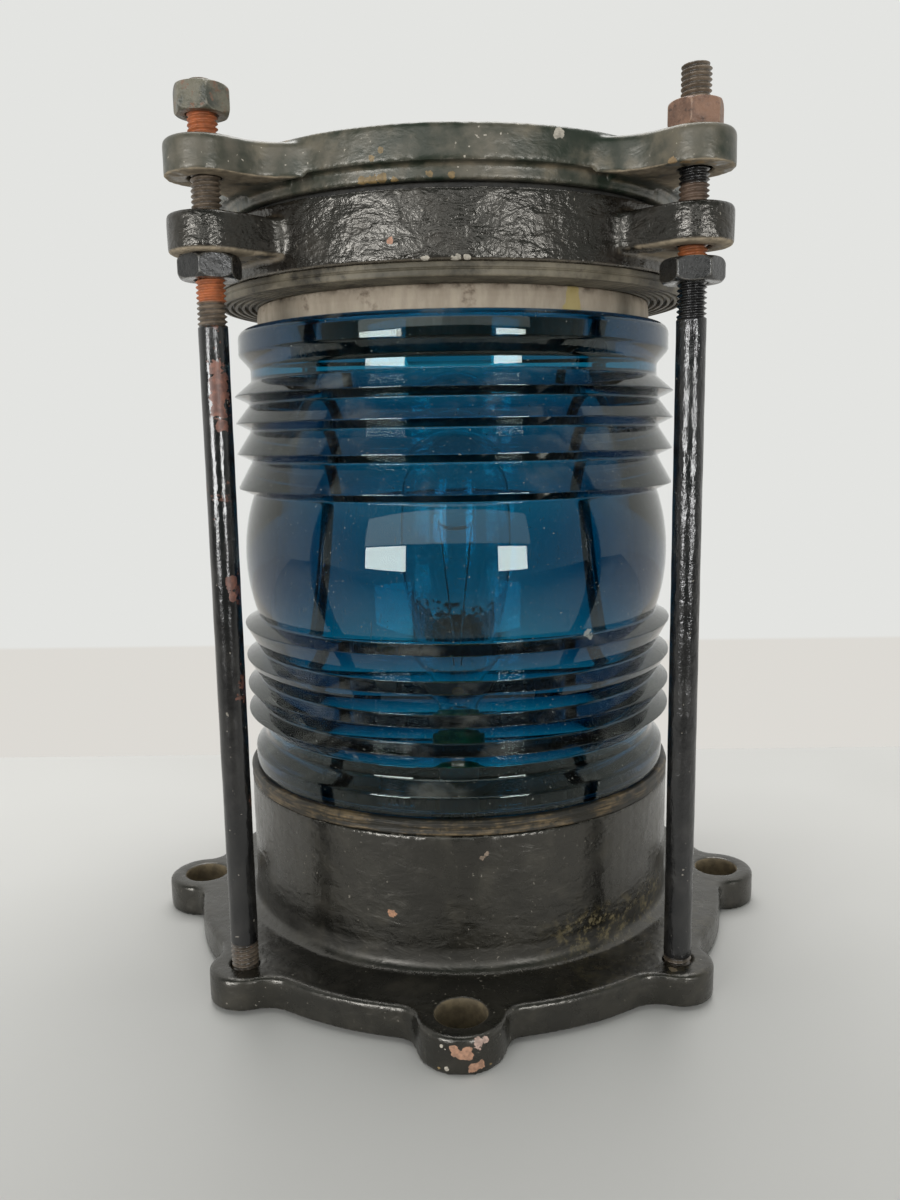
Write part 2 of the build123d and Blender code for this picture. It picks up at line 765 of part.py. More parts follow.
# Bayonet bulb with its filament at the height of the lens belt's middle
with BuildPart() as bulb_cap:
    with BuildSketch(Plane.XY.offset(bulb_bottom)):
        Circle(bulb_cap_radius)
    extrude(amount=bulb_cap_height)
    with BuildSketch(Plane.XY.offset(bulb_bottom + bulb_cap_floor)):
        Circle(bulb_cap_radius - bulb_cap_wall)
    extrude(amount=bulb_cap_height - bulb_cap_floor, mode=Mode.SUBTRACT)
    with BuildSketch(Plane.YZ.offset(-bulb_cap_radius - bayonet_pin_reach)):
        with Locations((0, pin_height)):
            Circle(bayonet_pin_radius)
    extrude(amount=bayonet_pin_reach + bulb_cap_wall)
    with BuildSketch(Plane.YZ.offset(bulb_cap_radius - bulb_cap_wall)):
        with Locations((0, pin_height)):
            Circle(bayonet_pin_radius)
    extrude(amount=bayonet_pin_reach + bulb_cap_wall)
    with BuildSketch(Plane.XY.offset(bulb_bottom)):
        with Locations(*contact_points):
            Circle(bulb_contact_radius)
    extrude(amount=bulb_cap_floor, mode=Mode.SUBTRACT)
save(bulb_cap.part, "bulb_cap")

with BuildPart() as bulb_contacts:
    with BuildSketch(Plane.XY.offset(bulb_bottom)):
        with Locations(*contact_points):
            Circle(bulb_contact_radius)
    extrude(amount=bulb_cap_floor)
save(bulb_contacts.part, "bulb_contacts")

neck_outer = bulb_cap_radius - bulb_cap_wall - seat_gap


def bulb_form(shrink):
    """The bulb's closed body, made smaller by a wall thickness."""
    start = bulb_cap_top - bulb_seat_depth
    globe = bulb_globe_radius - shrink
    with BuildPart() as form:
        with BuildSketch(Plane.XZ):
            with BuildLine():
                Line((0, start), (neck_outer - shrink, start))
                Line((neck_outer - shrink, start), (neck_outer - shrink, bulb_cap_top))
                Spline(
                    (neck_outer - shrink, bulb_cap_top),
                    (bulb_neck_radius - shrink, bulb_cap_top + bulb_neck_height),
                    (globe, belt_centre),
                    tangents=[(0, 1), (0, 1)],
                )
                TangentArc((globe, belt_centre), (0, belt_centre + globe), tangent=(0, 1))
                Line((0, belt_centre + globe), (0, start))
            make_face()
        revolve(axis=Axis.Z)
    return form.part


with BuildPart() as bulb_glass:
    add(bulb_form(0))
    add(bulb_form(bulb_wall), mode=Mode.SUBTRACT)
save(bulb_glass.part, "bulb_glass")

stem_bottom = bulb_cap_top - bulb_seat_depth
with BuildPart() as bulb_stem:
    with BuildSketch(Plane.XZ):
        with BuildLine():
            Polyline(
                (0, stem_bottom),
                (neck_outer - bulb_wall - seat_gap, stem_bottom),
                (neck_outer - bulb_wall - seat_gap, stem_bottom + bulb_seat_depth),
                (stem_radius, stem_bottom + 2 * bulb_seat_depth),
                (stem_radius, stem_bottom + stem_height),
                (0, stem_bottom + stem_height),
                (0, stem_bottom),
            )
        make_face()
    revolve(axis=Axis.Z)
save(bulb_stem.part, "bulb_stem")

stem_top = stem_bottom + stem_height
with BuildPart() as bulb_filament:
    with BuildLine():
        Polyline(
            (-stem_radius / 2, 0, stem_top),
            (-stem_radius / 2, 0, stem_top + bulb_seat_depth),
            (-filament_spread, 0, belt_centre),
        )
    with BuildSketch(Plane.XY.offset(stem_top)):
        with Locations((-stem_radius / 2, 0)):
            Circle(filament_wire_radius)
    sweep(transition=Transition.ROUND)
    with BuildLine():
        Polyline(
            (stem_radius / 2, 0, stem_top),
            (stem_radius / 2, 0, stem_top + bulb_seat_depth),
            (filament_spread, 0, belt_centre),
        )
    with BuildSketch(Plane.XY.offset(stem_top)):
        with Locations((stem_radius / 2, 0)):
            Circle(filament_wire_radius)
    sweep(transition=Transition.ROUND)
    with BuildLine():
        ThreePointArc(
            (-filament_spread, 0, belt_centre),
            (0, -filament_spread, belt_centre),
            (filament_spread, 0, belt_centre),
        )
    with BuildSketch(Plane.XZ):
        with Locations((-filament_spread, belt_centre)):
            Circle(filament_wire_radius)
    sweep()
save(bulb_filament.part, "bulb_filament")

# Terminal block, its brass bars and screws, and the earth screw on its boss
terminal_top = floor_top + terminal_height
bar_points = [(-terminal_offset, -terminal_pitch / 2), (-terminal_offset, terminal_pitch / 2)]
with BuildPart() as terminal_block:
    with BuildSketch(Plane.XY.offset(floor_top)):
        with Locations((-terminal_offset, 0)):
            RectangleRounded(terminal_width, terminal_length, terminal_corner_radius)
    extrude(amount=terminal_height)
    with BuildSketch(Plane.XY.offset(terminal_top - terminal_slot_depth)):
        with Locations(*bar_points):
            Rectangle(terminal_width, terminal_slot_width)
    extrude(amount=terminal_slot_depth, mode=Mode.SUBTRACT)
    with BuildSketch(Plane.XY.offset(floor_top)):
        with Locations((-terminal_offset, 0)):
            Circle(screw_radius)
    extrude(amount=terminal_height, mode=Mode.SUBTRACT)
    with BuildSketch(Plane.XY.offset(terminal_top - terminal_slot_depth - screw_depth)):
        with Locations(*bar_points):
            Circle(screw_radius)
    extrude(amount=screw_depth, mode=Mode.SUBTRACT)
save(terminal_block.part, "terminal_block")

bar_top = terminal_top - terminal_slot_depth + terminal_bar_thickness
with BuildPart() as terminal_bars:
    with BuildSketch(Plane.XY.offset(terminal_top - terminal_slot_depth)):
        with Locations(*bar_points):
            Rectangle(terminal_width - terminal_bar_inset, terminal_slot_width - terminal_bar_inset)
            Circle(screw_radius, mode=Mode.SUBTRACT)
    extrude(amount=terminal_bar_thickness)
save(terminal_bars.part, "terminal_bars")

save(cheese_screws(bar_points, bar_top, terminal_bar_thickness + screw_depth), "terminal_screws")
block_screw_depth = terminal_height + screw_depth
save(cheese_screws([(-terminal_offset, 0)], terminal_top, block_screw_depth), "terminal_block_screw")
earth_seat = floor_top + earth_boss_height
save(cheese_screws([(terminal_offset, 0)], earth_seat, screw_depth), "earth_screw")
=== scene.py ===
import math

import bmesh
import bpy
import numpy as np
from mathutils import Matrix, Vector, noise


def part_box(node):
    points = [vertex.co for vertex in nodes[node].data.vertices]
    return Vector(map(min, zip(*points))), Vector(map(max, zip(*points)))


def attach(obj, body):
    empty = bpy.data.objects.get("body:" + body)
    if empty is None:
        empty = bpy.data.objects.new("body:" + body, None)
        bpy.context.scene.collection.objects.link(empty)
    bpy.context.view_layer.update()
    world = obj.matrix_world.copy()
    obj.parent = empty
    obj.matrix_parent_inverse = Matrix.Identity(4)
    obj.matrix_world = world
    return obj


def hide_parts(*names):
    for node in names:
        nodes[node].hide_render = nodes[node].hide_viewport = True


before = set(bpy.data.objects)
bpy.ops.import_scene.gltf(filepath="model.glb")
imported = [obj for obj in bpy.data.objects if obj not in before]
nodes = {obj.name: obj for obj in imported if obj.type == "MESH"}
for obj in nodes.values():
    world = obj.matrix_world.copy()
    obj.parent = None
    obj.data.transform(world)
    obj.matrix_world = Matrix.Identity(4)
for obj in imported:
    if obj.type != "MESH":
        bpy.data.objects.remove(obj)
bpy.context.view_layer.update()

# The looks of a maritime signal light: painted castings, a blue lens, soft rings, studs and nuts.
# Lengths below are in millimetres and angles in degrees. MM turns a length into Blender's metres.
# The light stands on z = 0 round the z axis, and its front faces -y.
MM = 0.001
PLACES = ("front_left", "front_right", "rear_right", "rear_left")


def span(node):
    """The low and high corners of a CAD piece at rest, in millimetres."""
    low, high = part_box(node)
    return np.array(low) / MM, np.array(high) / MM


def radius_of(node):
    """Half the width of a round CAD piece."""
    low, high = span(node)
    return (high[0] - low[0]) / 2


def levels_of(node):
    """The bottom and top of a CAD piece."""
    low, high = span(node)
    return low[2], high[2]


# Heights that several pieces share
flange_top = 17.0
lens_bottom, lens_top = levels_of("fresnel_lens")
clamp_bottom = levels_of("clamp_ring")[0]
cap_bottom = levels_of("top_cap")[0]
upper_thread_start = lens_top - 5.6


# Mesh helpers


def add_object(name, data):
    """Puts a mesh, a light or a camera into the scene."""
    made = bpy.data.objects.new(name, data)
    bpy.context.scene.collection.objects.link(made)
    return made


def add_piece(name, mesh, material, body, stands_for):
    """A smooth visible piece that rides on a body and stands for a CAD node."""
    mesh.materials.clear()
    mesh.materials.append(material)
    mesh.polygons.foreach_set("use_smooth", [True] * len(mesh.polygons))
    piece = add_object(name, mesh)
    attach(piece, body)
    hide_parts(stands_for)
    return piece


def add_mesh(name, points, faces, material, body, stands_for, crease=35):
    """A piece from points in millimetres; edges sharper than crease stay hard."""
    mesh = bpy.data.meshes.new(name)
    mesh.from_pydata((np.asarray(points) * MM).tolist(), [], faces)
    shell = bmesh.new()
    shell.from_mesh(mesh)
    bmesh.ops.recalc_face_normals(shell, faces=shell.faces)
    shell.to_mesh(mesh)
    shell.free()
    piece = add_piece(name, mesh, material, body, stands_for)
    mesh.set_sharp_from_angle(angle=math.radians(crease))
    return piece


def grid_faces(rows, columns, close_rows=False):
    """Quads between neighbouring points of a grid stored row by row and closed along its columns."""
    faces = []
    for i in range(rows if close_rows else rows - 1):
        for j in range(columns):
            a, b = i * columns, ((i + 1) % rows) * columns
            k = (j + 1) % columns
            faces.append((a + j, a + k, b + k, b + j))
    return faces


def rounded(corners, steps):
    """Rounds a closed outline of (radius, height, fillet) corners into plain points."""
    out = []
    count = len(corners)
    longest_cut = 0.48
    for i in range(count):
        corner = np.array(corners[i][:2], float)
        fillet = corners[i][2]
        if fillet <= 0:
            out.append(corner)
            continue
        back = np.array(corners[i - 1][:2], float) - corner
        ahead = np.array(corners[(i + 1) % count][:2], float) - corner
        back_length, ahead_length = np.linalg.norm(back), np.linalg.norm(ahead)
        back, ahead = back / back_length, ahead / ahead_length
        half = math.acos(max(-1.0, min(1.0, float(back @ ahead)))) / 2
        cut = min(fillet / math.tan(half), longest_cut * back_length, longest_cut * ahead_length)
        radius = cut * math.tan(half)
        middle = corner + (back + ahead) / np.linalg.norm(back + ahead) * (radius / math.sin(half))
        start, end = corner + back * cut - middle, corner + ahead * cut - middle
        turn = math.atan2(start[0] * end[1] - start[1] * end[0], float(start @ end))
        for s in range(steps + 1):
            angle = turn * s / steps
            cosine, sine = math.cos(angle), math.sin(angle)
            spoke = [cosine * start[0] - sine * start[1], sine * start[0] + cosine * start[1]]
            out.append(middle + np.array(spoke))
    return np.array(out)


def lathe(outline, segments, wobble=None):
    """Turns a closed outline of (radius, height) points round the light's axis."""
    turns = np.linspace(0, 2 * math.pi, segments, endpoint=False)
    points = np.zeros((segments, len(outline), 3))
    for i, turn in enumerate(turns):
        radius, height = outline[:, 0].copy(), outline[:, 1].copy()
        if wobble:
            radius = wobble(turn, radius, height)
        points[i, :, 0] = radius * math.cos(turn)
        points[i, :, 1] = radius * math.sin(turn)
        points[i, :, 2] = height
    return points.reshape(-1, 3), grid_faces(segments, len(outline), True)


def frayed(amount, scale, seed):
    """A wobble that makes a soft ring's outer side uneven."""
    change_with_height = 0.05

    def move(turn, radius, height):
        ring = (math.cos(turn) * scale, math.sin(turn) * scale)
        push = np.array([noise.noise(Vector((*ring, h * change_with_height + seed))) for h in height])
        return radius + amount * push * (radius > radius.mean())

    return move


# Material helpers


class Nodes:
    """Adds shader nodes to one node tree and links them."""

    def __init__(self, tree):
        self.tree = tree
        self.tree.nodes.clear()

    def put(self, socket, value):
        """Links a socket to a node's output, or sets it to a plain value."""
        if isinstance(value, bpy.types.NodeSocket):
            self.tree.links.new(value, socket)
        elif hasattr(value, "__len__") and len(value) == 3 and socket.type == "RGBA":
            socket.default_value = (*value, 1.0)
        else:
            socket.default_value = value

    def node(self, kind, **values):
        """A node; each value goes into the input of that name, or else onto the node itself."""
        made = self.tree.nodes.new(kind)
        for key, value in values.items():
            if key in made.inputs:
                self.put(made.inputs[key], value)
            else:
                setattr(made, key, value)
        return made

    def fill(self, made, values):
        """Sets a node's first inputs in their order."""
        for socket, value in zip(made.inputs, values):
            self.put(socket, value)
        return made

    def range(self, value, low, high, to_low=0.0, to_high=1.0):
        """Follows a value softly from one range into another and stays inside it."""
        made = self.node("ShaderNodeMapRange", interpolation_type="SMOOTHSTEP")
        return self.fill(made, (value, low, high, to_low, to_high)).outputs[0]

    def math(self, operation, a, b=0.0, c=0.0):
        made = self.node("ShaderNodeMath", operation=operation)
        return self.fill(made, (a, b, c)).outputs[0]

    def times(self, a, b):
        return self.math("MULTIPLY", a, b)

    def most(self, a, b):
        """The larger of two values."""
        return self.math("MAXIMUM", a, b)

    def sum_of(self, share, a, b):
        """A share of one field on top of another."""
        return self.math("MULTIPLY_ADD", a, share, b)

    def distance(self, a, b):
        """The length of a flat step whose sides are a and b."""
        return self.math("SQRT", self.math("ADD", self.times(a, a), self.times(b, b)))

    def mix(self, share, a, b):
        """A colour that goes from a to b with the share."""
        made = self.node("ShaderNodeMix", data_type="RGBA")
        self.put(made.inputs[0], share)
        self.put(made.inputs[6], a)
        self.put(made.inputs[7], b)
        return made.outputs[2]

    def parts(self, vector):
        """The x, y and z outputs of a vector."""
        return self.fill(self.node("ShaderNodeSeparateXYZ"), (vector,)).outputs


class Paint(Nodes):
    """A node material that is built up step by step around one main shader."""

    def __init__(self, name):
        self.mat = bpy.data.materials.new(name)
        self.mat.use_nodes = True
        super().__init__(self.mat.node_tree)
        self.out = self.node("ShaderNodeOutputMaterial")
        self.shader = self.node("ShaderNodeBsdfPrincipled")
        self.put(self.out.inputs["Surface"], self.shader.outputs[0])
        self.place = self.node("ShaderNodeTexCoord").outputs["Object"]

    def noise(self, scale, detail, rough, stretch=None, distortion=0.0):
        """Smooth noise whose features are about 1000 / scale millimetres wide."""
        vector = self.place
        if stretch:
            vector = self.node("ShaderNodeMapping", Vector=vector, Scale=stretch).outputs[0]
        made = self.node("ShaderNodeTexNoise", Vector=vector, Scale=scale, Detail=detail)
        self.put(made.inputs["Roughness"], rough)
        self.put(made.inputs["Distortion"], distortion)
        return made.outputs["Fac"]

    def bump(self, height, strength, distance):
        """A normal that follows a height field, where distance is the height of a full step."""
        made = self.node("ShaderNodeBump", Height=height, Strength=strength, Distance=distance * MM)
        return made.outputs[0]

    def edges(self, low, high, to_low=0.0, to_high=1.0):
        """Finds sharp outer edges when low is under high, or hollows when it is over it."""
        pointed = self.node("ShaderNodeNewGeometry").outputs["Pointiness"]
        return self.range(pointed, low, high, to_low, to_high)

    def facing_up(self):
        """One where the surface faces up, zero on walls and minus one where it faces down."""
        return self.parts(self.node("ShaderNodeNewGeometry").outputs["Normal"])[2]

    def spots(self, places, ragged):
        """A mask of ragged patches round points given as x, y, z and size."""
        raggedness, soft_edge = 2.8, 0.12
        uneven = self.math("SUBTRACT", ragged, 0.5)
        total = None
        for x, y, z, size in places:
            point = (x * MM, y * MM, z * MM)
            gap = self.fill(self.node("ShaderNodeVectorMath", operation="DISTANCE"), (self.place, point))
            reach = self.math("MULTIPLY_ADD", uneven, size * raggedness * MM, size * MM)
            inside = self.math("SUBTRACT", reach, gap.outputs["Value"])
            near = self.range(inside, 0.0, size * soft_edge * MM)
            total = near if total is None else self.most(total, near)
        return total

    def band(self, value, low, high, soft):
        """One between two heights in millimetres, with soft ends."""
        rise = self.range(value, (low - soft) * MM, (low + soft) * MM)
        fall = self.range(value, (high - soft) * MM, (high + soft) * MM, 1.0, 0.0)
        return self.times(rise, fall)

    def patchy(self, color, mask, tone, ragged):
        """Lays a tone over a colour where the mask is, with a darker mottle in it."""
        darker = [v * 0.6 for v in tone]
        mottled = self.mix(self.range(ragged, 0.35, 0.65), tone, darker)
        return self.mix(mask, color, mottled)

    def finish(self, color, rough, normal=None, **uniform):
        """Fills the main shader; the uniform values are named after its sockets."""
        self.put(self.shader.inputs["Base Color"], color)
        self.put(self.shader.inputs["Roughness"], rough)
        if normal is not None:
            self.put(self.shader.inputs["Normal"], normal)
        for key, value in uniform.items():
            self.put(self.shader.inputs[key.replace("_", " ")], value)
        return self.mat


# Enamel on the three castings

RED_PRIMER = (0.48, 0.25, 0.17)
PINK_PRIMER = (0.52, 0.36, 0.30)
ORANGE_PRIMER = (0.50, 0.25, 0.14)
CLAMP_PRIMER = (0.50, 0.25, 0.16)
BROWN_PRIMER = (0.36, 0.26, 0.19)
COPPER = (0.45, 0.24, 0.15)
OCHRE = (0.30, 0.20, 0.08)
RUST_STAIN = (0.42, 0.28, 0.14)
TAN_DUST = (0.25, 0.19, 0.12)
LUG_DUST = (0.36, 0.29, 0.20)
FOOT_DIRT = (0.20, 0.16, 0.075)
HOLE_DIRT = (0.16, 0.12, 0.065)
PALE_CHIP = (0.55, 0.50, 0.42)
WHITE_CHIP = (0.70, 0.70, 0.66)
WARM_SHEEN = (1.0, 0.96, 0.88)
EAR_HOLE_CIRCLE = 143.0
EAR_HOLE_RADIUS = 11.8


class Enamel(Paint):
    """Old thick gloss enamel in a dark, a light and a third, scattered tone."""

    def __init__(self, name, tones, gloss):
        super().__init__(name)
        dark, light, scattered = tones
        self.broad = self.noise(26, 4, 0.6)
        self.middle = self.noise(70, 4, 0.6)
        self.ragged = self.noise(260, 3, 0.6)
        blotches = self.sum_of(0.45, self.middle, self.times(self.broad, 0.55))
        self.color = self.mix(self.range(blotches, 0.41, 0.61), dark, light)
        self.color = self.mix(self.times(self.range(self.middle, 0.52, 0.75), 0.6), self.color, scattered)
        self.rough = self.range(self.middle, 0.3, 0.75, gloss, gloss + 0.12)

    def lay(self, mask, tone, ragged, dullness):
        """Covers the enamel with a dull patch where the mask is."""
        self.color = self.patchy(self.color, mask, tone, ragged)
        self.rough = self.most(self.rough, self.times(mask, dullness))

    def wear(self, flecks):
        """Dust in the hollows, worn crests and small pale flecks."""
        hollow = self.times(self.edges(0.49, 0.44), self.range(self.middle, 0.35, 0.6))
        self.color = self.mix(self.times(hollow, 0.5), self.color, TAN_DUST)
        crest = self.times(self.edges(0.53, 0.58), self.range(self.noise(130, 4, 0.7), 0.54, 0.62))
        self.color = self.patchy(self.color, self.times(crest, 0.85), PALE_CHIP, self.ragged)
        specks = self.range(self.noise(560, 2, 0.5), 0.70, 0.73)
        specks = self.times(specks, self.range(self.broad, 0.45, 0.58))
        self.color = self.mix(self.times(specks, flecks), self.color, PALE_CHIP)
        dull = self.most(crest, self.times(hollow, 0.8))
        self.rough = self.most(self.rough, self.times(dull, 0.5))

    def dust_lugs(self):
        """Pale dust under the lugs, which stand out past the ring's own side."""
        ring_side, lug_start = 116, 122
        x, y = self.parts(self.place)[:2]
        below = self.range(self.facing_up(), -0.2, -0.6)
        below = self.times(below, self.range(self.noise(48, 4, 0.6), 0.34, 0.50))
        below = self.times(below, self.range(self.distance(x, y), ring_side * MM, lug_start * MM))
        self.lay(below, LUG_DUST, self.ragged, 0.8)

    def chip(self, groups, level=0.0):
        """Bare patches, in groups of a tone, a share and points whose heights are over a level."""
        fine = self.noise(500, 3, 0.6)
        for tone, share, places in groups:
            places = [(x, y, level + height, size) for x, y, height, size in places]
            self.lay(self.times(self.spots(places, self.ragged), share), tone, fine, 0.6)

    def dirty_foot(self):
        """Ochre dirt at the front right of the cup, and a dull line where it meets the flange."""
        x, y, z = self.parts(self.place)
        corner = self.times(self.range(x, 30 * MM, 62 * MM), self.range(y, -30 * MM, -60 * MM))
        corner = self.times(corner, self.band(z, flange_top + 3, flange_top + 19, 6.0))
        corner = self.times(corner, self.range(self.noise(210, 5, 0.75), 0.47, 0.62))
        self.color = self.patchy(self.color, self.times(corner, 0.8), FOOT_DIRT, self.ragged)
        root = self.band(z, flange_top + 2, flange_top + 12, 4.0)
        root = self.times(root, self.range(self.middle, 0.2, 0.6, 0.7, 1.0))
        self.rough = self.most(self.rough, self.times(self.most(corner, root), 0.62))

    def dirty_holes(self):
        """Brown dirt on the walls of the four ear holes."""
        x, y = self.parts(self.place)[:2]
        side_gap = self.math("SUBTRACT", self.math("ABSOLUTE", x), EAR_HOLE_CIRCLE * MM)
        front_gap = self.math("SUBTRACT", self.math("ABSOLUTE", y), EAR_HOLE_CIRCLE * MM)
        gap = self.math("MINIMUM", self.distance(side_gap, y), self.distance(x, front_gap))
        wall = self.range(gap, EAR_HOLE_RADIUS * MM, (EAR_HOLE_RADIUS + 0.5) * MM, 1.0, 0.0)
        wall = self.times(wall, self.range(self.facing_up(), 0.9, 0.6))
        self.lay(wall, HOLE_DIRT, self.ragged, 0.8)

    def coat(self, lumps, grain, shine=0.9):
        """The finished material, with the lumps of many coats and drips that ran down."""
        drips = self.noise(grain, 3, 0.55, stretch=(0.7, 0.7, 1.4), distortion=0.6)
        height = self.sum_of(0.35, self.noise(grain * 2.6, 3, 0.55), drips)
        height = self.sum_of(0.06, self.noise(1500, 2, 0.6), height)
        normal = self.bump(height, lumps, 1.4)
        return self.finish(
            self.color, self.rough, normal, Specular_IOR_Level=shine, Specular_Tint=WARM_SHEEN
        )


ear_front = -span("base_casting")[1][0]
base_tones = ((0.005, 0.0048, 0.0038), (0.012, 0.011, 0.008), (0.034, 0.030, 0.022))
base_chips = [
    (COPPER, 1.0, [(-2, ear_front + 0.5, 11, 2.6), (2, ear_front + 0.5, 10.5, 3.0)]),
    (PINK_PRIMER, 1.0, [(7, ear_front + 1.2, 13.8, 2.4), (10, ear_front + 2, 14.5, 1.6)]),
    (COPPER, 0.9, [(4.5, ear_front + 0.5, 3.8, 2.6), (8, ear_front + 1.2, 4.2, 1.8)]),
    (PALE_CHIP, 1.0, [
        (-8, ear_front + 2, 12.8, 0.8), (-6.5, ear_front + 1.5, 11.6, 0.6), (-6, ear_front + 1, 3, 0.9),
    ]),
    (OCHRE, 0.9, [(12, ear_front + 3, 3, 1.2), (-9, ear_front + 3, 2.5, 0.9)]),
    (WHITE_CHIP, 1.0, [(-97, -111, 10, 1.2), (97, -112, 8, 1.0)]),
    (TAN_DUST, 0.8, [(110, -103, 6, 2.6), (96, -110, 16, 2.2)]),
    (ORANGE_PRIMER, 1.0, [(-31.2, -107, 43.8, 2.1)]),
    (BROWN_PRIMER, 0.7, [(10.6, -111, 71.4, 1.4), (12.4, -110.8, 73.4, 1.3)]),
]


def base_paint():
    p = Enamel("base_enamel", base_tones, 0.23)
    p.wear(flecks=0.3)
    p.chip(base_chips)
    p.dirty_foot()
    p.dirty_holes()
    return p.coat(lumps=0.34, grain=120)


clamp_tones = ((0.0055, 0.0045, 0.0035), (0.012, 0.010, 0.008), (0.022, 0.017, 0.012))
clamp_chips = [
    (RED_PRIMER, 0.9, [(-97, -105, 14.6, 2.6), (-94, -107, 9.6, 1.6)]),
    (CLAMP_PRIMER, 1.0, [(-24, -116, 8.6, 1.5)]),
    (PALE_CHIP, 0.8, [(-10, -117.5, 0.8, 1.6), (2, -118, 0.6, 2.0), (7, -118, 0.8, 1.3)]),
]


def clamp_paint():
    p = Enamel("clamp_enamel", clamp_tones, 0.22)
    p.wear(flecks=0.4)
    p.dust_lugs()
    p.chip(clamp_chips, clamp_bottom)
    return p.coat(lumps=0.7, grain=150)


cap_tones = ((0.018, 0.027, 0.018), (0.122, 0.110, 0.084), (0.17, 0.145, 0.095))
cap_chips = [
    (OCHRE, 0.9, [
        (-36, -106, 1.1, 2.2), (-32, -107, 1.1, 2.4), (-27, -108.5, 1.6, 2.2), (-22, -109, 0.6, 1.8),
    ]),
    (OCHRE, 0.8, [
        (-31, -112, 8.6, 1.5), (-27, -113, 11.1, 1.1), (-8, -111, 2.1, 1.6), (1, -112, 1.6, 1.4),
    ]),
    (PALE_CHIP, 0.9, [(44, -107, 18.1, 2.4)]),
    (RUST_STAIN, 0.9, [
        (88, -112, 5.1, 1.8), (94, -112.5, 5.3, 2.2), (100, -112, 5.1, 2.0), (106, -109, 5.6, 1.8),
    ]),
    (TAN_DUST, 0.8, [
        (-96, -105, 18.6, 2.4), (-89, -100, 19.1, 2.2), (-84, -97, 19.1, 1.8), (-66, -93, 20.6, 2.2),
    ]),
    (PALE_CHIP, 0.9, [
        (-83, -97, 15.6, 0.9), (-79, -95, 12.6, 0.8), (-87, -101, 10.6, 0.8), (-75, -92, 16.6, 0.7),
    ]),
]


def cap_paint():
    p = Enamel("cap_enamel", cap_tones, 0.29)
    p.wear(flecks=0.8)
    p.dust_lugs()
    p.chip(cap_chips, cap_bottom)
    return p.coat(lumps=0.24, grain=120, shine=0.65)


# Castings: the CAD shapes with soft, slightly uneven edges


def eased_mesh(node, name, voxel):
    """A fine even mesh of a CAD node whose edges are eased."""
    copy = add_object(name + "_rough", nodes[node].data.copy())
    weld = copy.modifiers.new("weld", "WELD")
    weld.merge_threshold = 0.02 * MM
    remesh = copy.modifiers.new("remesh", "REMESH")
    remesh.mode = "VOXEL"
    remesh.voxel_size = voxel * MM
    ease = copy.modifiers.new("ease", "SMOOTH")
    ease.factor = 0.5
    ease.iterations = 2
    bpy.context.view_layer.update()
    shaped = copy.evaluated_get(bpy.context.evaluated_depsgraph_get())
    mesh = bpy.data.meshes.new_from_object(shaped)
    bpy.data.objects.remove(copy)
    mesh.name = name
    return mesh


def read_vectors(mesh, what):
    """The positions or the normals of a mesh's points, one row each."""
    values = np.zeros(len(mesh.vertices) * 3)
    mesh.vertices.foreach_get(what, values)
    return values.reshape(-1, 3)


def cast_copy(node, name, material, body, voxel, swell, grain):
    """A finely meshed copy of a casting whose edges are eased and whose faces are a little uneven."""
    fine_share, fine_grain = 0.4, 3.1
    mesh = eased_mesh(node, name, voxel)
    points, normals = read_vectors(mesh, "co"), read_vectors(mesh, "normal")
    lift = []
    for point in points:
        broad = noise.noise(Vector(point) * grain)
        lift.append(broad + fine_share * noise.noise(Vector(point) * grain * fine_grain))
    points += normals * (np.array(lift) * swell * MM)[:, None]
    points[:, 2] = np.maximum(points[:, 2], levels_of(node)[0] * MM)
    mesh.vertices.foreach_set("co", points.ravel())
    mesh.update()
    add_piece(name, mesh, material, body, node)


cast_copy("base_casting", "base_cast", base_paint(), "lantern", 1.15, 0.16, 55)
cast_copy("clamp_ring", "clamp_cast", clamp_paint(), "lantern", 1.0, 0.24, 95)
cast_copy("top_cap", "cap_cast", cap_paint(), "cap", 1.0, 0.16, 60)


# Lens: a plain belt with four prism ribs above and below it

lens_half_height = (lens_top - lens_bottom) / 2
belt_middle = lens_bottom + lens_half_height - 1.1
belt_half_height = 31.0
belt_crest_radius = 109.7
rib_radius = radius_of("fresnel_lens")
rib_root_radius = 104.4
rib_slope = 3.4
rib_land = 0.5
first_rib, rib_pitch, rib_pitch_step = 34.4, 16.9, 1.9
rib_tips = [first_rib + rib_pitch * i - rib_pitch_step * i * (i - 1) / 2 for i in range(4)]
band_start = lens_half_height - 10.9
neck_end = band_start - 6.2
neck_start = neck_end - 6.2
neck_radius = 103.4
band_radius = 108.9
inner_radius = 95.0


def lens_side(side):
    """One half of the glass wall's corners: +1 is above the belt and -1 is below it."""
    root_fillet, tip_fillet = 0.9, 0.25
    corners = []
    for tip in rib_tips:
        corners.append((rib_root_radius, belt_middle + side * (tip - rib_slope), root_fillet))
        corners.append((rib_radius, belt_middle + side * tip, tip_fillet))
        corners.append((rib_radius, belt_middle + side * (tip + rib_land), tip_fillet))
    corners.append((neck_radius, belt_middle + side * neck_start, 2.0))
    corners.append((neck_radius, belt_middle + side * neck_end, 4.0))
    corners.append((band_radius, belt_middle + side * band_start, 3.0))
    return corners


def belt_curve(steps=32):
    """The belt's bulging face, as one arc from its lower to its upper edge."""
    bulge = belt_crest_radius - rib_root_radius
    ball = (belt_half_height**2 + bulge**2) / (2 * bulge)
    points = []
    for s in range(1, steps):
        rise = belt_half_height * (2 * s / steps - 1)
        points.append((belt_crest_radius - ball + math.sqrt(ball**2 - rise**2), belt_middle + rise, 0))
    return points


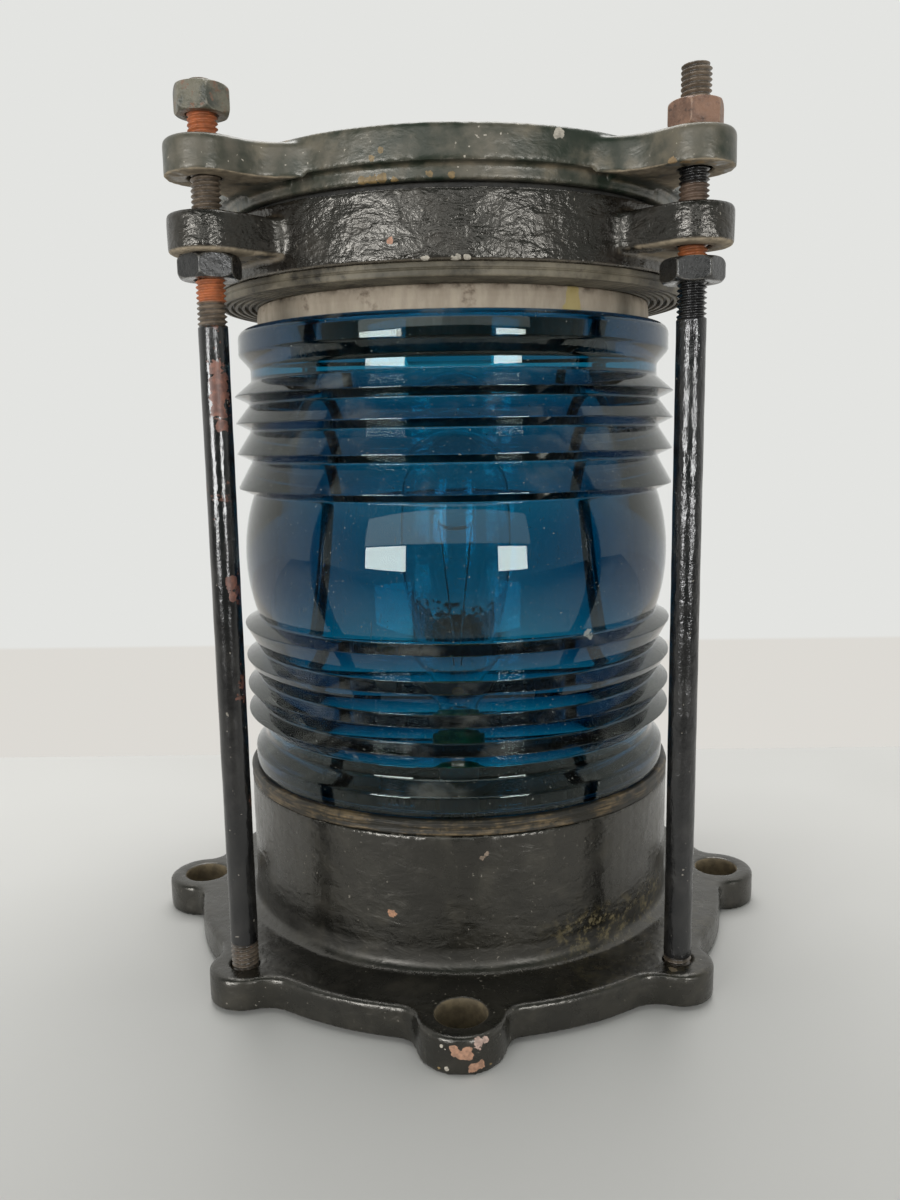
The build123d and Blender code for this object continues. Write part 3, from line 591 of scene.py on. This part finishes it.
def lens_outline():
    """The glass wall's outline, from the belt up and round to the belt's lower edge."""
    upper = lens_side(1) + [(band_radius, lens_top, 4.2), (inner_radius, lens_top, 1.0)]
    lower = lens_side(-1) + [(band_radius, lens_bottom, 1.2), (inner_radius, lens_bottom, 1.0)]
    return rounded(belt_curve() + upper + list(reversed(lower)), 6)


GLASS_BLUE = (0.012, 0.645, 0.745)
GLASS_DENSITY = 290.0
GREEN_SHEEN = (0.86, 0.98, 0.92)
PALE_DUST = (0.42, 0.43, 0.39)
glass_chips = [(60, -87, 168, 2.4), (-22, -106.5, 299.5, 1.6)]


def glass_film(p, haze):
    """How much of the glass is hidden by dust, flecks, worn rib tips and chips."""
    film = p.range(haze, 0.45, 0.75, 0.0, 0.02)
    ledges = p.times(p.range(p.facing_up(), 0.15, 0.7), p.range(haze, 0.48, 0.75, 0.01, 0.22))
    flecks = p.times(p.range(p.noise(900, 1, 0.4), 0.745, 0.775), 0.6)
    worn = p.times(p.edges(0.54, 0.60), p.range(p.noise(60, 5, 0.7), 0.52, 0.62, 0.06, 0.5))
    chips = p.times(p.spots(glass_chips, p.noise(330, 4, 0.7)), 0.7)
    for part in (ledges, flecks, worn, chips):
        film = p.most(film, part)
    return film


def blue_glass():
    """Thick cobalt glass that darkens with the length of its path, dusty on its ledges and chipped."""
    p = Paint("blue_glass")
    haze = p.noise(38, 5, 0.65)
    rough = p.range(haze, 0.45, 0.8, 0.01, 0.06)
    ripple = p.bump(p.noise(22, 2, 0.4), 0.05, 1.0)
    white = (1.0, 1.0, 1.0)
    p.finish(white, rough, ripple, IOR=1.52, Transmission_Weight=1.0, Specular_Tint=GREEN_SHEEN)
    depth = p.node("ShaderNodeVolumeAbsorption", Color=GLASS_BLUE, Density=GLASS_DENSITY)
    p.put(p.out.inputs["Volume"], depth.outputs[0])
    dust = p.node("ShaderNodeBsdfDiffuse", Color=PALE_DUST, Roughness=0.9)
    layers = (glass_film(p, haze), p.shader.outputs[0], dust.outputs[0])
    p.put(p.out.inputs["Surface"], p.fill(p.node("ShaderNodeMixShader"), layers).outputs[0])
    return p.mat


points, faces = lathe(lens_outline(), 320)
add_mesh("lens_glass", points, faces, blue_glass(), "lantern", "fresnel_lens", crease=60)


# Soft rings: gaskets, packing and the grooved pressure ring


def gasket_finish():
    """Gold-brown jointing in thin layers, blackened in places."""
    p = Paint("base_gasket_finish")
    layers = p.noise(900, 3, 0.6, stretch=(0.06, 0.06, 1.0))
    share = p.sum_of(0.6, layers, p.times(p.noise(45, 5, 0.65), 0.4))
    color = p.mix(p.range(share, 0.42, 0.66), (0.022, 0.017, 0.009), (0.20, 0.14, 0.07))
    color = p.mix(p.range(p.noise(40, 5, 0.75), 0.42, 0.58), color, (0.016, 0.014, 0.009))
    return p.finish(color, 0.5, p.bump(layers, 0.8, 0.8))


def packing_finish(bottom, top):
    """Cream packing, darker along its top and browned in patches, with one yellow stain."""
    stain_points = [(52, -84, bottom + 1.4, 4.5), (52, -84, bottom + 5.4, 4.0), (53, -84, bottom + 9.4, 3.0)]
    p = Paint("cream_packing_finish")
    z = p.parts(p.place)[2]
    fibres = p.noise(160, 4, 0.6, stretch=(1.0, 1.0, 0.3))
    color = p.mix(p.range(fibres, 0.35, 0.65), (0.35, 0.29, 0.22), (0.44, 0.37, 0.285))
    # Darker along the top 4 mm, just under the grooved ring.
    rim = p.times(p.range(z, (top - 4) * MM, top * MM), p.range(p.noise(90, 4, 0.7), 0.4, 0.7))
    color = p.mix(rim, color, (0.08, 0.055, 0.035))
    color = p.mix(p.range(p.noise(60, 5, 0.7), 0.58, 0.72, 0.0, 0.8), color, (0.10, 0.065, 0.04))
    stain = p.spots(stain_points, p.noise(70, 3, 0.6))
    color = p.mix(p.times(stain, 0.55), color, (0.45, 0.34, 0.05))
    return p.finish(color, 0.7, p.bump(p.noise(300, 4, 0.6), 0.3, 0.5))


def grooved_finish():
    """Brown-grey ring, blotched with dark grease and paler on its ridges."""
    p = Paint("grooved_ring_finish")
    color = p.mix(p.range(p.noise(45, 5, 0.65), 0.35, 0.65), (0.07, 0.06, 0.04), (0.18, 0.155, 0.11))
    color = p.mix(p.range(p.noise(60, 5, 0.7), 0.48, 0.7), color, (0.022, 0.018, 0.012))
    color = p.mix(p.times(p.edges(0.52, 0.57), 0.5), color, (0.20, 0.17, 0.12))
    return p.finish(color, 0.55, p.bump(p.noise(350, 4, 0.6), 0.35, 0.6))


def two_tone(name, dark, light, scale, rough, strength, distance=0.4, metallic=0.0):
    """A two-tone finish with bumps of its own, for the smaller pieces."""
    p = Paint(name)
    color = p.mix(p.range(p.noise(scale, 4, 0.6), 0.3, 0.7), dark, light)
    spread = p.range(p.noise(scale * 2.3, 3, 0.5), 0.3, 0.7, rough - 0.08, rough + 0.12)
    normal = p.bump(p.noise(scale * 3, 4, 0.6), strength, distance)
    return p.finish(color, spread, normal, Metallic=metallic)


dark_rubber = two_tone("dark_gasket_finish", (0.008, 0.008, 0.007), (0.022, 0.020, 0.016), 200, 0.6, 0.5)


def add_ring(name, corners, segments, wobble, material, node):
    """A soft ring turned from its corners."""
    points, faces = lathe(rounded(corners, 4), segments, wobble)
    add_mesh(name, points, faces, material, "lantern", node)


def base_gasket_ring():
    inside, radius = 97.0, radius_of("base_gasket")
    bottom, top = levels_of("base_gasket")
    corners = [
        (inside, bottom, 0.8), (radius, bottom, 1.2), (radius - 0.8, bottom + 2.5, 0.8),
        (radius, top - 1.5, 1.4), (radius - 1.5, top, 0.8), (inside, top, 0.8),
    ]
    wobble = frayed(0.5, 7.0, 1.0)
    add_ring("gasket_under_glass", corners, 256, wobble, gasket_finish(), "base_gasket")


def packing_ring():
    inside, radius = 90.6, radius_of("lens_packing")
    bottom, top = levels_of("lens_packing")
    corners = [
        (inside, bottom, 0.8), (radius, bottom, 1.0), (radius + 0.3, (bottom + top) / 2, 0.5),
        (radius - 0.2, top, 1.0), (inside, top, 0.8),
    ]
    finish = packing_finish(bottom, top)
    add_ring("packing_on_glass", corners, 256, frayed(0.25, 5.0, 4.0), finish, "lens_packing")


def grooved_ring():
    """The pressure ring: five shallow grooves in its underside and one in its side."""
    inside, radius = 92.0, radius_of("pressure_ring")
    bottom, top = levels_of("pressure_ring")
    groove_count, groove_pitch, groove_depth = 5, 3.3, 1.8
    corners = [(inside, top, 0.4), (inside, bottom, 0.4)]
    for i in reversed(range(groove_count)):
        outer = radius - 2.0 - i * groove_pitch
        corners.append((outer - 1.9, bottom, 0.3))
        corners.append((outer - 1.5, bottom + groove_depth, 0.5))
        corners.append((outer - 0.4, bottom + groove_depth, 0.5))
        corners.append((outer, bottom, 0.3))
    corners.append((radius - 0.2, bottom + 0.1, 0.9))
    corners.append((radius, bottom + 2.8, 0.6))
    corners.append((radius - 0.8, bottom + 3.3, 0.3))
    corners.append((radius, bottom + 3.9, 0.6))
    corners.append((radius - 0.2, top, 0.5))
    wobble = frayed(0.12, 6.0, 9.0)
    add_ring("ring_with_grooves", corners, 256, wobble, grooved_finish(), "pressure_ring")


def cap_gasket_ring():
    inside, radius = 98.0, radius_of("cap_gasket")
    bottom, top = levels_of("cap_gasket")
    corners = [(inside, bottom, 0.6), (radius, bottom, 0.9), (radius, top, 0.9), (inside, top, 0.6)]
    add_ring("gasket_under_cap", corners, 192, frayed(0.3, 6.0, 13.0), dark_rubber, "cap_gasket")


base_gasket_ring()
packing_ring()
grooved_ring()
cap_gasket_ring()


# Tie studs: painted rods with rolled threads at both ends

THREAD_PITCH = 2.117
THREAD_DEPTH = 1.15
RED_LEAD = (0.52, 0.15, 0.045)
left_foot_thread, right_foot_thread, rear_foot_thread = 11.0, 2.2, 9.0


def stud_levels(bottom, top, foot_end):
    """The heights of a stud's rows of points: close on its threads and wide on its plain shank."""
    fine, wide, margin = THREAD_PITCH / 9, 2.0, 1.5
    levels = list(np.arange(bottom, foot_end + margin, fine))
    levels += list(np.arange(foot_end + margin, upper_thread_start - margin, wide))
    levels += list(np.arange(upper_thread_start - margin, top, fine)) + [top]
    return levels


def stud_mesh(node, foot_thread):
    """A rod whose two ends carry a rounded thread; foot_thread is how far the lower one shows."""
    low, high = span(node)
    cx, cy = (low[:2] + high[:2]) / 2
    shank, bottom, top = (high[0] - low[0]) / 2, low[2], high[2]
    foot_end = flange_top + foot_thread
    levels = stud_levels(bottom, top, foot_end)
    segments = 40
    fade, lump, tip_height = 1.6, 0.10, 1.6
    turns = np.linspace(0, 2 * math.pi, segments, endpoint=False)
    z, a = np.meshgrid(np.array(levels), turns, indexing="ij")
    at_foot = np.clip((foot_end + fade / 2 - z) / fade, 0, 1)
    at_head = np.clip((z - upper_thread_start + fade / 2) / fade, 0, 1)
    threaded = np.maximum(at_foot, at_head)
    wave = 0.5 + 0.5 * np.cos(2 * math.pi * (z / THREAD_PITCH - a / (2 * math.pi)))
    radius = shank - THREAD_DEPTH * threaded * wave**0.8
    lumps = []
    for h, t in zip(z.ravel(), a.ravel()):
        lumps.append(noise.noise(Vector((math.cos(t) * 1.4, math.sin(t) * 1.4, h * 0.10 + cx))))
    radius += lump * (1 - threaded) * np.array(lumps).reshape(radius.shape) - lump
    tip = np.clip((z - (top - tip_height)) / tip_height, 0, 1)
    radius *= np.sqrt(np.clip(1 - 0.55 * tip**2, 0, 1))
    points = np.stack([cx + radius * np.cos(a), cy + radius * np.sin(a), z], axis=-1).reshape(-1, 3)
    faces = grid_faces(len(levels), segments)
    points = np.vstack([points, [[cx, cy, top], [cx, cy, bottom]]])
    last, count = (len(levels) - 1) * segments, len(levels) * segments
    faces += [(last + j, last + (j + 1) % segments, count) for j in range(segments)]
    faces += [((j + 1) % segments, j, count + 1) for j in range(segments)]
    return points, faces


def stud_paint(
    name, gloss, rusty, foot_thread, bands=(), chips=(), bare_from=upper_thread_start, lumps=0.28
):
    """Thick black enamel on a rod, chipped to red primer; its upper thread is bare from a height on."""
    p = Paint(name)
    z = p.parts(p.place)[2]
    middle = p.noise(90, 4, 0.65)
    ragged = p.noise(200, 4, 0.65)
    color = p.mix(p.range(middle, 0.4, 0.7), (0.006, 0.006, 0.0065), (0.016, 0.015, 0.014))
    rough = p.range(middle, 0.3, 0.7, gloss, gloss + 0.12)
    bare = p.times(p.range(p.noise(60, 5, 0.7), 0.60, 0.64), rusty)
    if chips:
        bare = p.most(bare, p.spots(chips, ragged))
    primer = p.mix(p.range(ragged, 0.4, 0.6), (0.24, 0.095, 0.06), (0.12, 0.045, 0.03))
    color = p.mix(bare, color, primer)
    specks = p.range(p.noise(420, 2, 0.5), 0.73, 0.76)
    color = p.mix(p.times(specks, 0.35), color, PALE_CHIP)
    foot_end = flange_top + foot_thread
    at_head = p.range(z, (bare_from - 0.5) * MM, (bare_from + 1) * MM)
    at_foot = p.range(z, (foot_end + 0.3) * MM, (foot_end - 0.3) * MM)
    thread = p.times(p.most(at_head, p.times(at_foot, 0.6)), p.range(middle, 0.25, 0.45, 0.55, 1.0))
    steel_and_groove_shade = p.mix(p.range(ragged, 0.35, 0.65), (0.10, 0.075, 0.052), (0.21, 0.16, 0.115))
    # Painted shade: the thread's grooves are painted near-black.
    steel_and_groove_shade = p.mix(p.edges(0.50, 0.44), steel_and_groove_shade, (0.012, 0.009, 0.006))
    color = p.mix(thread, color, steel_and_groove_shade)
    rough = p.most(rough, p.times(p.most(thread, bare), 0.45))
    for low, high, tone in bands:
        stripe = p.times(p.band(z, low, high, 0.6), p.edges(0.40, 0.48, 0.3, 1.0))
        color = p.patchy(color, p.times(stripe, 0.92), tone, ragged)
        rough = p.most(rough, p.times(stripe, 0.6))
    height = p.sum_of(0.5, ragged, p.noise(260, 3, 0.6, stretch=(1.0, 1.0, 0.35)))
    return p.finish(color, rough, p.bump(height, lumps, 0.9), Specular_IOR_Level=0.8)


def add_stud(place, foot_thread, material):
    node = "tie_stud_" + place
    points, faces = stud_mesh(node, foot_thread)
    add_mesh("stud_" + place, points, faces, material, "lantern", node, crease=75)


def front_left_stud():
    """The stud with red lead above the cap and under its jam nut, and long chips below that."""
    # Each chip's x, its drop below the upper thread, and its size
    high_chips = [(-98, 17, 3.6), (-97, 23, 4.4), (-98, 29, 4.6), (-98, 35, 4.0), (-97, 41, 3.0)]
    low_chips = [(-96, 108, 3.0), (-96, 114, 2.6)]
    chips = [(x, -106.5, upper_thread_start - drop, size) for x, drop, size in high_chips]
    chips += [(x, -106, upper_thread_start - drop, size) for x, drop, size in low_chips]
    bands = [
        (cap_bottom + 17.6, cap_bottom + 32.6, RED_LEAD),
        (clamp_bottom - 12.7, clamp_bottom - 2.9, RED_LEAD),
    ]
    paint = stud_paint("stud_enamel_left", 0.12, 0.55, left_foot_thread, bands, chips)
    add_stud("front_left", left_foot_thread, paint)


def front_right_stud():
    """The stud with rust round its jam nut and thick lumpy paint, bare only above the cap's lug."""
    bands = [
        (clamp_bottom + 0.1, clamp_bottom + 6.2, (0.45, 0.14, 0.04)),
        (clamp_bottom + 21.6, clamp_bottom + 30.6, (0.17, 0.11, 0.075)),
    ]
    bare_from = cap_bottom + 13.6
    paint = stud_paint(
        "stud_enamel_right", 0.15, 0.0, right_foot_thread, bands, bare_from=bare_from, lumps=0.6
    )
    add_stud("front_right", right_foot_thread, paint)


def rear_studs():
    paint = stud_paint("stud_enamel_rear", 0.16, 0.4, rear_foot_thread)
    add_stud("rear_right", rear_foot_thread, paint)
    add_stud("rear_left", rear_foot_thread, paint)


front_left_stud()
front_right_stud()
rear_studs()


# Nuts

TOP_NUT_FLATS = 20.8
JAM_NUT_FLATS = 23.4
NUT_BORE = 6.43

# Where one corner of each nut points, turning from +x towards +y
TOP_NUT_TURNS = {"front_left": 53, "front_right": 9, "rear_right": 20, "rear_left": 40}
JAM_NUT_TURNS = {"front_left": 25, "front_right": 51, "rear_right": 35, "rear_left": 15}


def nut_mesh(node, flats, corner_turn):
    """A hexagon nut with eased corners and chamfered ends; one corner points along corner_turn."""
    low, high = span(node)
    cx, cy = (low[:2] + high[:2]) / 2
    bottom, top = low[2], high[2]
    segments, rows = 180, 26
    corner_sharpness, chamfer_sharpness = 140, 14
    ease, chamfer, chamfer_start = 0.7, 4.3, 0.3
    turns = np.linspace(0, 2 * math.pi, segments, endpoint=False)
    flats_at = np.radians(corner_turn + 30 + np.arange(6) * 60)
    reach = sum(np.clip(np.cos(turns - f), 0, 1) ** corner_sharpness for f in flats_at)
    hexagon = flats / 2 / reach ** (1 / corner_sharpness)
    rings = []
    for s in 0.5 - 0.5 * np.cos(np.linspace(0, math.pi, rows)):
        limit = flats / 2 - chamfer_start + chamfer * math.sqrt(min(s, 1 - s))
        inside_both = np.exp(-hexagon * chamfer_sharpness) + np.exp(-limit * chamfer_sharpness)
        rings.append((-np.log(inside_both) / chamfer_sharpness, bottom + (top - bottom) * s))
    bore, mouth = np.full(segments, NUT_BORE), np.full(segments, NUT_BORE + ease)
    upper_bore = [(bore, top - ease), (mouth, top)]
    lower_bore = [(mouth, bottom), (bore, bottom + ease)]
    points = []
    for radius, z in upper_bore + rings[::-1] + lower_bore:
        across = [cx + radius * np.cos(turns), cy + radius * np.sin(turns), np.full(segments, z)]
        points.append(np.stack(across, axis=-1))
    return np.vstack(points), grid_faces(len(points), segments, True)


def nut_finish(name, tones, gloss, pits, edge):
    """A pitted finish in a dark, a light and a scattered tone, with bright worn edges."""
    p = Paint(name)
    dark, light, scattered = tones
    spread = p.noise(110, 5, 0.65)
    color = p.mix(p.range(spread, 0.35, 0.6), dark, light)
    color = p.mix(p.range(p.noise(240, 4, 0.7), 0.55, 0.68), color, scattered)
    crest = p.times(p.edges(0.515, 0.55), p.range(p.noise(300, 2, 0.5), 0.34, 0.52))
    color = p.mix(p.times(crest, 0.8), color, edge)
    rough = p.range(spread, 0.3, 0.7, gloss, gloss + 0.2)
    height = p.sum_of(0.8, p.noise(160, 3, 0.5), p.noise(380, 4, 0.65))
    return p.finish(color, rough, p.bump(height, pits, 0.9), Specular_IOR_Level=0.7)


def add_nut(kind, place, flats, turn, material):
    node = "%s_nut_%s" % (kind, place)
    points, faces = nut_mesh(node, flats, turn)
    add_mesh("nut_%s_%s" % (kind, place), points, faces, material, node + "_body", node, crease=50)


grey_tones = ((0.050, 0.054, 0.038), (0.17, 0.155, 0.11), (0.20, 0.10, 0.055))
rust_tones = ((0.15, 0.075, 0.045), (0.27, 0.145, 0.09), (0.07, 0.035, 0.022))
black_tones = ((0.006, 0.006, 0.006), (0.018, 0.017, 0.016), (0.010, 0.009, 0.008))
grey_nut = nut_finish("nut_grey_green", grey_tones, 0.38, 0.8, (0.34, 0.31, 0.25))
rusty_nut = nut_finish("nut_rusty", rust_tones, 0.42, 0.6, (0.45, 0.30, 0.21))
black_nut = nut_finish("nut_black", black_tones, 0.16, 0.4, (0.20, 0.19, 0.17))
for place in PLACES:
    look = grey_nut if place == "front_left" else rusty_nut
    add_nut("top", place, TOP_NUT_FLATS, TOP_NUT_TURNS[place], look)
    add_nut("jam", place, JAM_NUT_FLATS, JAM_NUT_TURNS[place], black_nut)


# Inner pieces keep their CAD shapes


def brass_finish():
    """Brass, tarnished brown in patches."""
    p = Paint("brass_finish")
    tarnish = p.noise(130, 5, 0.65)
    color = p.mix(p.range(tarnish, 0.4, 0.65), (0.42, 0.29, 0.10), (0.20, 0.12, 0.045))
    rough = p.range(tarnish, 0.35, 0.7, 0.28, 0.5)
    return p.finish(color, rough, p.bump(p.noise(600, 3, 0.5), 0.15, 0.3), Metallic=1.0)


def clear_glass():
    """The bulb's clear glass, a little smeared."""
    p = Paint("clear_glass")
    rough = p.range(p.noise(60, 3, 0.6), 0.4, 0.8, 0.0, 0.05)
    return p.finish((1.0, 1.0, 1.0), rough, IOR=1.5, Transmission_Weight=1.0)


porcelain = two_tone("porcelain_finish", (0.62, 0.60, 0.54), (0.75, 0.73, 0.68), 60, 0.25, 0.08)
pillar_grey = two_tone("pillar_enamel", (0.12, 0.12, 0.11), (0.18, 0.175, 0.16), 60, 0.4, 0.15)
solder = two_tone("solder_finish", (0.32, 0.32, 0.32), (0.5, 0.5, 0.49), 400, 0.4, 0.3, 0.2, 1.0)
wire = two_tone("wire_finish", (0.25, 0.25, 0.26), (0.4, 0.4, 0.4), 600, 0.35, 0.1, 0.1, 1.0)
brass_pieces = [
    "gland_body", "gland_nut", "gland_lock_nut", "pillar_screws", "lampholder_shell", "contact_plungers",
    "bulb_cap", "terminal_bars", "terminal_screws", "terminal_block_screw", "earth_screw",
]
inner_looks = [
    (brass_finish(), brass_pieces),
    (porcelain, ["lampholder_insulator", "terminal_block"]),
    (pillar_grey, ["lamp_pillar"]),
    (solder, ["bulb_contacts"]),
    (wire, ["bulb_filament"]),
    (clear_glass(), ["bulb_glass", "bulb_stem"]),
    (dark_rubber, ["gland_packing"]),
]


def repaint(node, finish):
    """Gives a CAD piece one finish all over."""
    slots = nodes[node].data.materials
    for i in range(len(slots)):
        slots[i] = finish
    if not len(slots):
        slots.append(finish)


for finish, names in inner_looks:
    for name in names:
        repaint(name, finish)


# Floor, room and lights

WALL_TONE = (0.77, 0.775, 0.755)
SKIRTING_TONE = (0.72, 0.70, 0.66)
ROOM_TONE = (0.096, 0.123, 0.110)
FLOOR_TONES = ((0.60, 0.59, 0.57), (0.65, 0.64, 0.62))
FLOOR_FRONT_SHADE = (0.12, 0.115, 0.105)
wall_line = 265.0
floor_reach = 4000.0
floor_front = 1300.0
fade_start, fade_end = -20.0, -800.0
front_light_distance = 1800.0

# Where the room's tones meet: a slope for the skirting's edge, and parts of a direction for the rest
skirting_edge = (-0.205, -0.209)
ceiling_share = -0.45
room_fade = (-1.0, 0.15)
wall_fade = (0.05, 0.25)
floor_fade = (-0.25, -0.35)


def stage_floor():
    """A pale floor with painted shade that darkens it towards the front, and that ends where the wall begins
    behind the light.
    """
    left, right, front = -floor_reach, floor_reach, -floor_front
    points = [(left, front, 0), (right, front, 0), (right, wall_line, 0), (left, wall_line, 0)]
    mesh = bpy.data.meshes.new("floor")
    mesh.from_pydata((np.array(points) * MM).tolist(), [], [(0, 1, 2, 3)])
    floor = add_object("floor", mesh)
    p = Paint("floor_finish")
    y = p.parts(p.place)[1]
    near = p.mix(p.range(p.noise(2.2, 3, 0.5), 0.3, 0.7), *FLOOR_TONES)
    # Painted shade: the floor is darkened from just in front of the light towards its front edge.
    tone = p.mix(p.range(y, fade_start * MM, fade_end * MM), near, FLOOR_FRONT_SHADE)
    p.finish(tone, 0.5, Specular_IOR_Level=0.0)
    mesh.materials.append(p.mat)


def room_light():
    """A pale wall and its skirting behind the light, and a darker room in front of it."""
    world = bpy.data.worlds.new("studio")
    bpy.context.scene.world = world
    world.use_nodes = True
    room = Nodes(world.node_tree)
    y, z = room.parts(room.node("ShaderNodeTexCoord").outputs["Generated"])[1:]
    slope = room.math("DIVIDE", z, y)
    wall = room.mix(room.range(slope, *skirting_edge), WALL_TONE, SKIRTING_TONE)
    backward = room.sum_of(ceiling_share, z, y)
    around = room.mix(room.range(backward, *room_fade), ROOM_TONE, WALL_TONE)
    behind = room.mix(room.range(y, *wall_fade), around, wall)
    below = room.mix(room.range(z, *floor_fade), behind, SKIRTING_TONE)
    glow = room.node("ShaderNodeBackground", Color=below)
    room.node("ShaderNodeOutputWorld", Surface=glow.outputs[0])


def front_light(name, low, high, brightness):
    """A soft upright light in front of the object, between two (x, z) corners."""
    light = bpy.data.lights.new(name, "AREA")
    light.shape = "RECTANGLE"
    width, height = (high[0] - low[0]) * MM, (high[1] - low[1]) * MM
    light.size, light.size_y = width, height
    light.energy = brightness * math.pi * width * height
    holder = add_object(name, light)
    middle = ((low[0] + high[0]) / 2, -front_light_distance, (low[1] + high[1]) / 2)
    holder.location = Vector(middle) * MM
    holder.rotation_euler = (math.radians(90), 0, 0)


def overhead_light(place, size, watts):
    """A soft square light above and a little behind the object, turned towards it."""
    light = bpy.data.lights.new("overhead", "AREA")
    light.size, light.energy = size * MM, watts
    holder = add_object("overhead", light)
    holder.location = Vector(place) * MM
    holder.rotation_euler = (math.atan2(-place[1], place[2]), 0, 0)


stage_floor()
room_light()
front_light("window_left", (-1850, 20), (-820, 520), 14)
front_light("window_right", (685, 20), (1290, 490), 14)
front_light("far_ceiling_left", (-1900, 545), (-150, 1250), 1.8)
front_light("far_ceiling_right", (-150, 545), (1400, 1250), 1.0)
overhead_light((0, 450, 1800), 1300, 23)


# Camera at the photograph's viewing angle

IMAGE_HEIGHT = 1200.0
FOCAL_PIXELS = 1013.2163
camera_distance, camera_height = 537.69, 257.82
camera_bearing, camera_yaw, camera_pitch, camera_roll = 0.267, 0.649, 9.273, -0.901


def photo_camera():
    """A camera that stands in front of the light, looks down a little and leans to one side."""
    data = bpy.data.cameras.new("photo_camera")
    camera = add_object("photo_camera", data)
    data.sensor_width = 36.0
    data.lens = FOCAL_PIXELS * data.sensor_width / IMAGE_HEIGHT
    data.clip_start, data.clip_end = 0.01, 50.0
    pitch, yaw, roll = (math.radians(v) for v in (camera_pitch, camera_yaw, camera_roll))
    forward = Vector((-math.sin(yaw) * math.cos(pitch), math.cos(yaw) * math.cos(pitch), -math.sin(pitch)))
    side = Vector((math.cos(yaw), math.sin(yaw), 0.0))
    up = side.cross(forward)
    right = math.cos(roll) * side + math.sin(roll) * up
    top = -math.sin(roll) * side + math.cos(roll) * up
    bearing = math.radians(camera_bearing)
    away = camera_distance * MM
    place = Vector((away * math.sin(bearing), -away * math.cos(bearing), camera_height * MM))
    matrix = camera.matrix_world.copy()
    for i in range(3):
        matrix[i] = (right[i], top[i], -forward[i], place[i])
    camera.matrix_world = matrix
    bpy.context.scene.camera = camera


photo_camera()
bpy.context.scene.view_settings.view_transform = "Standard"
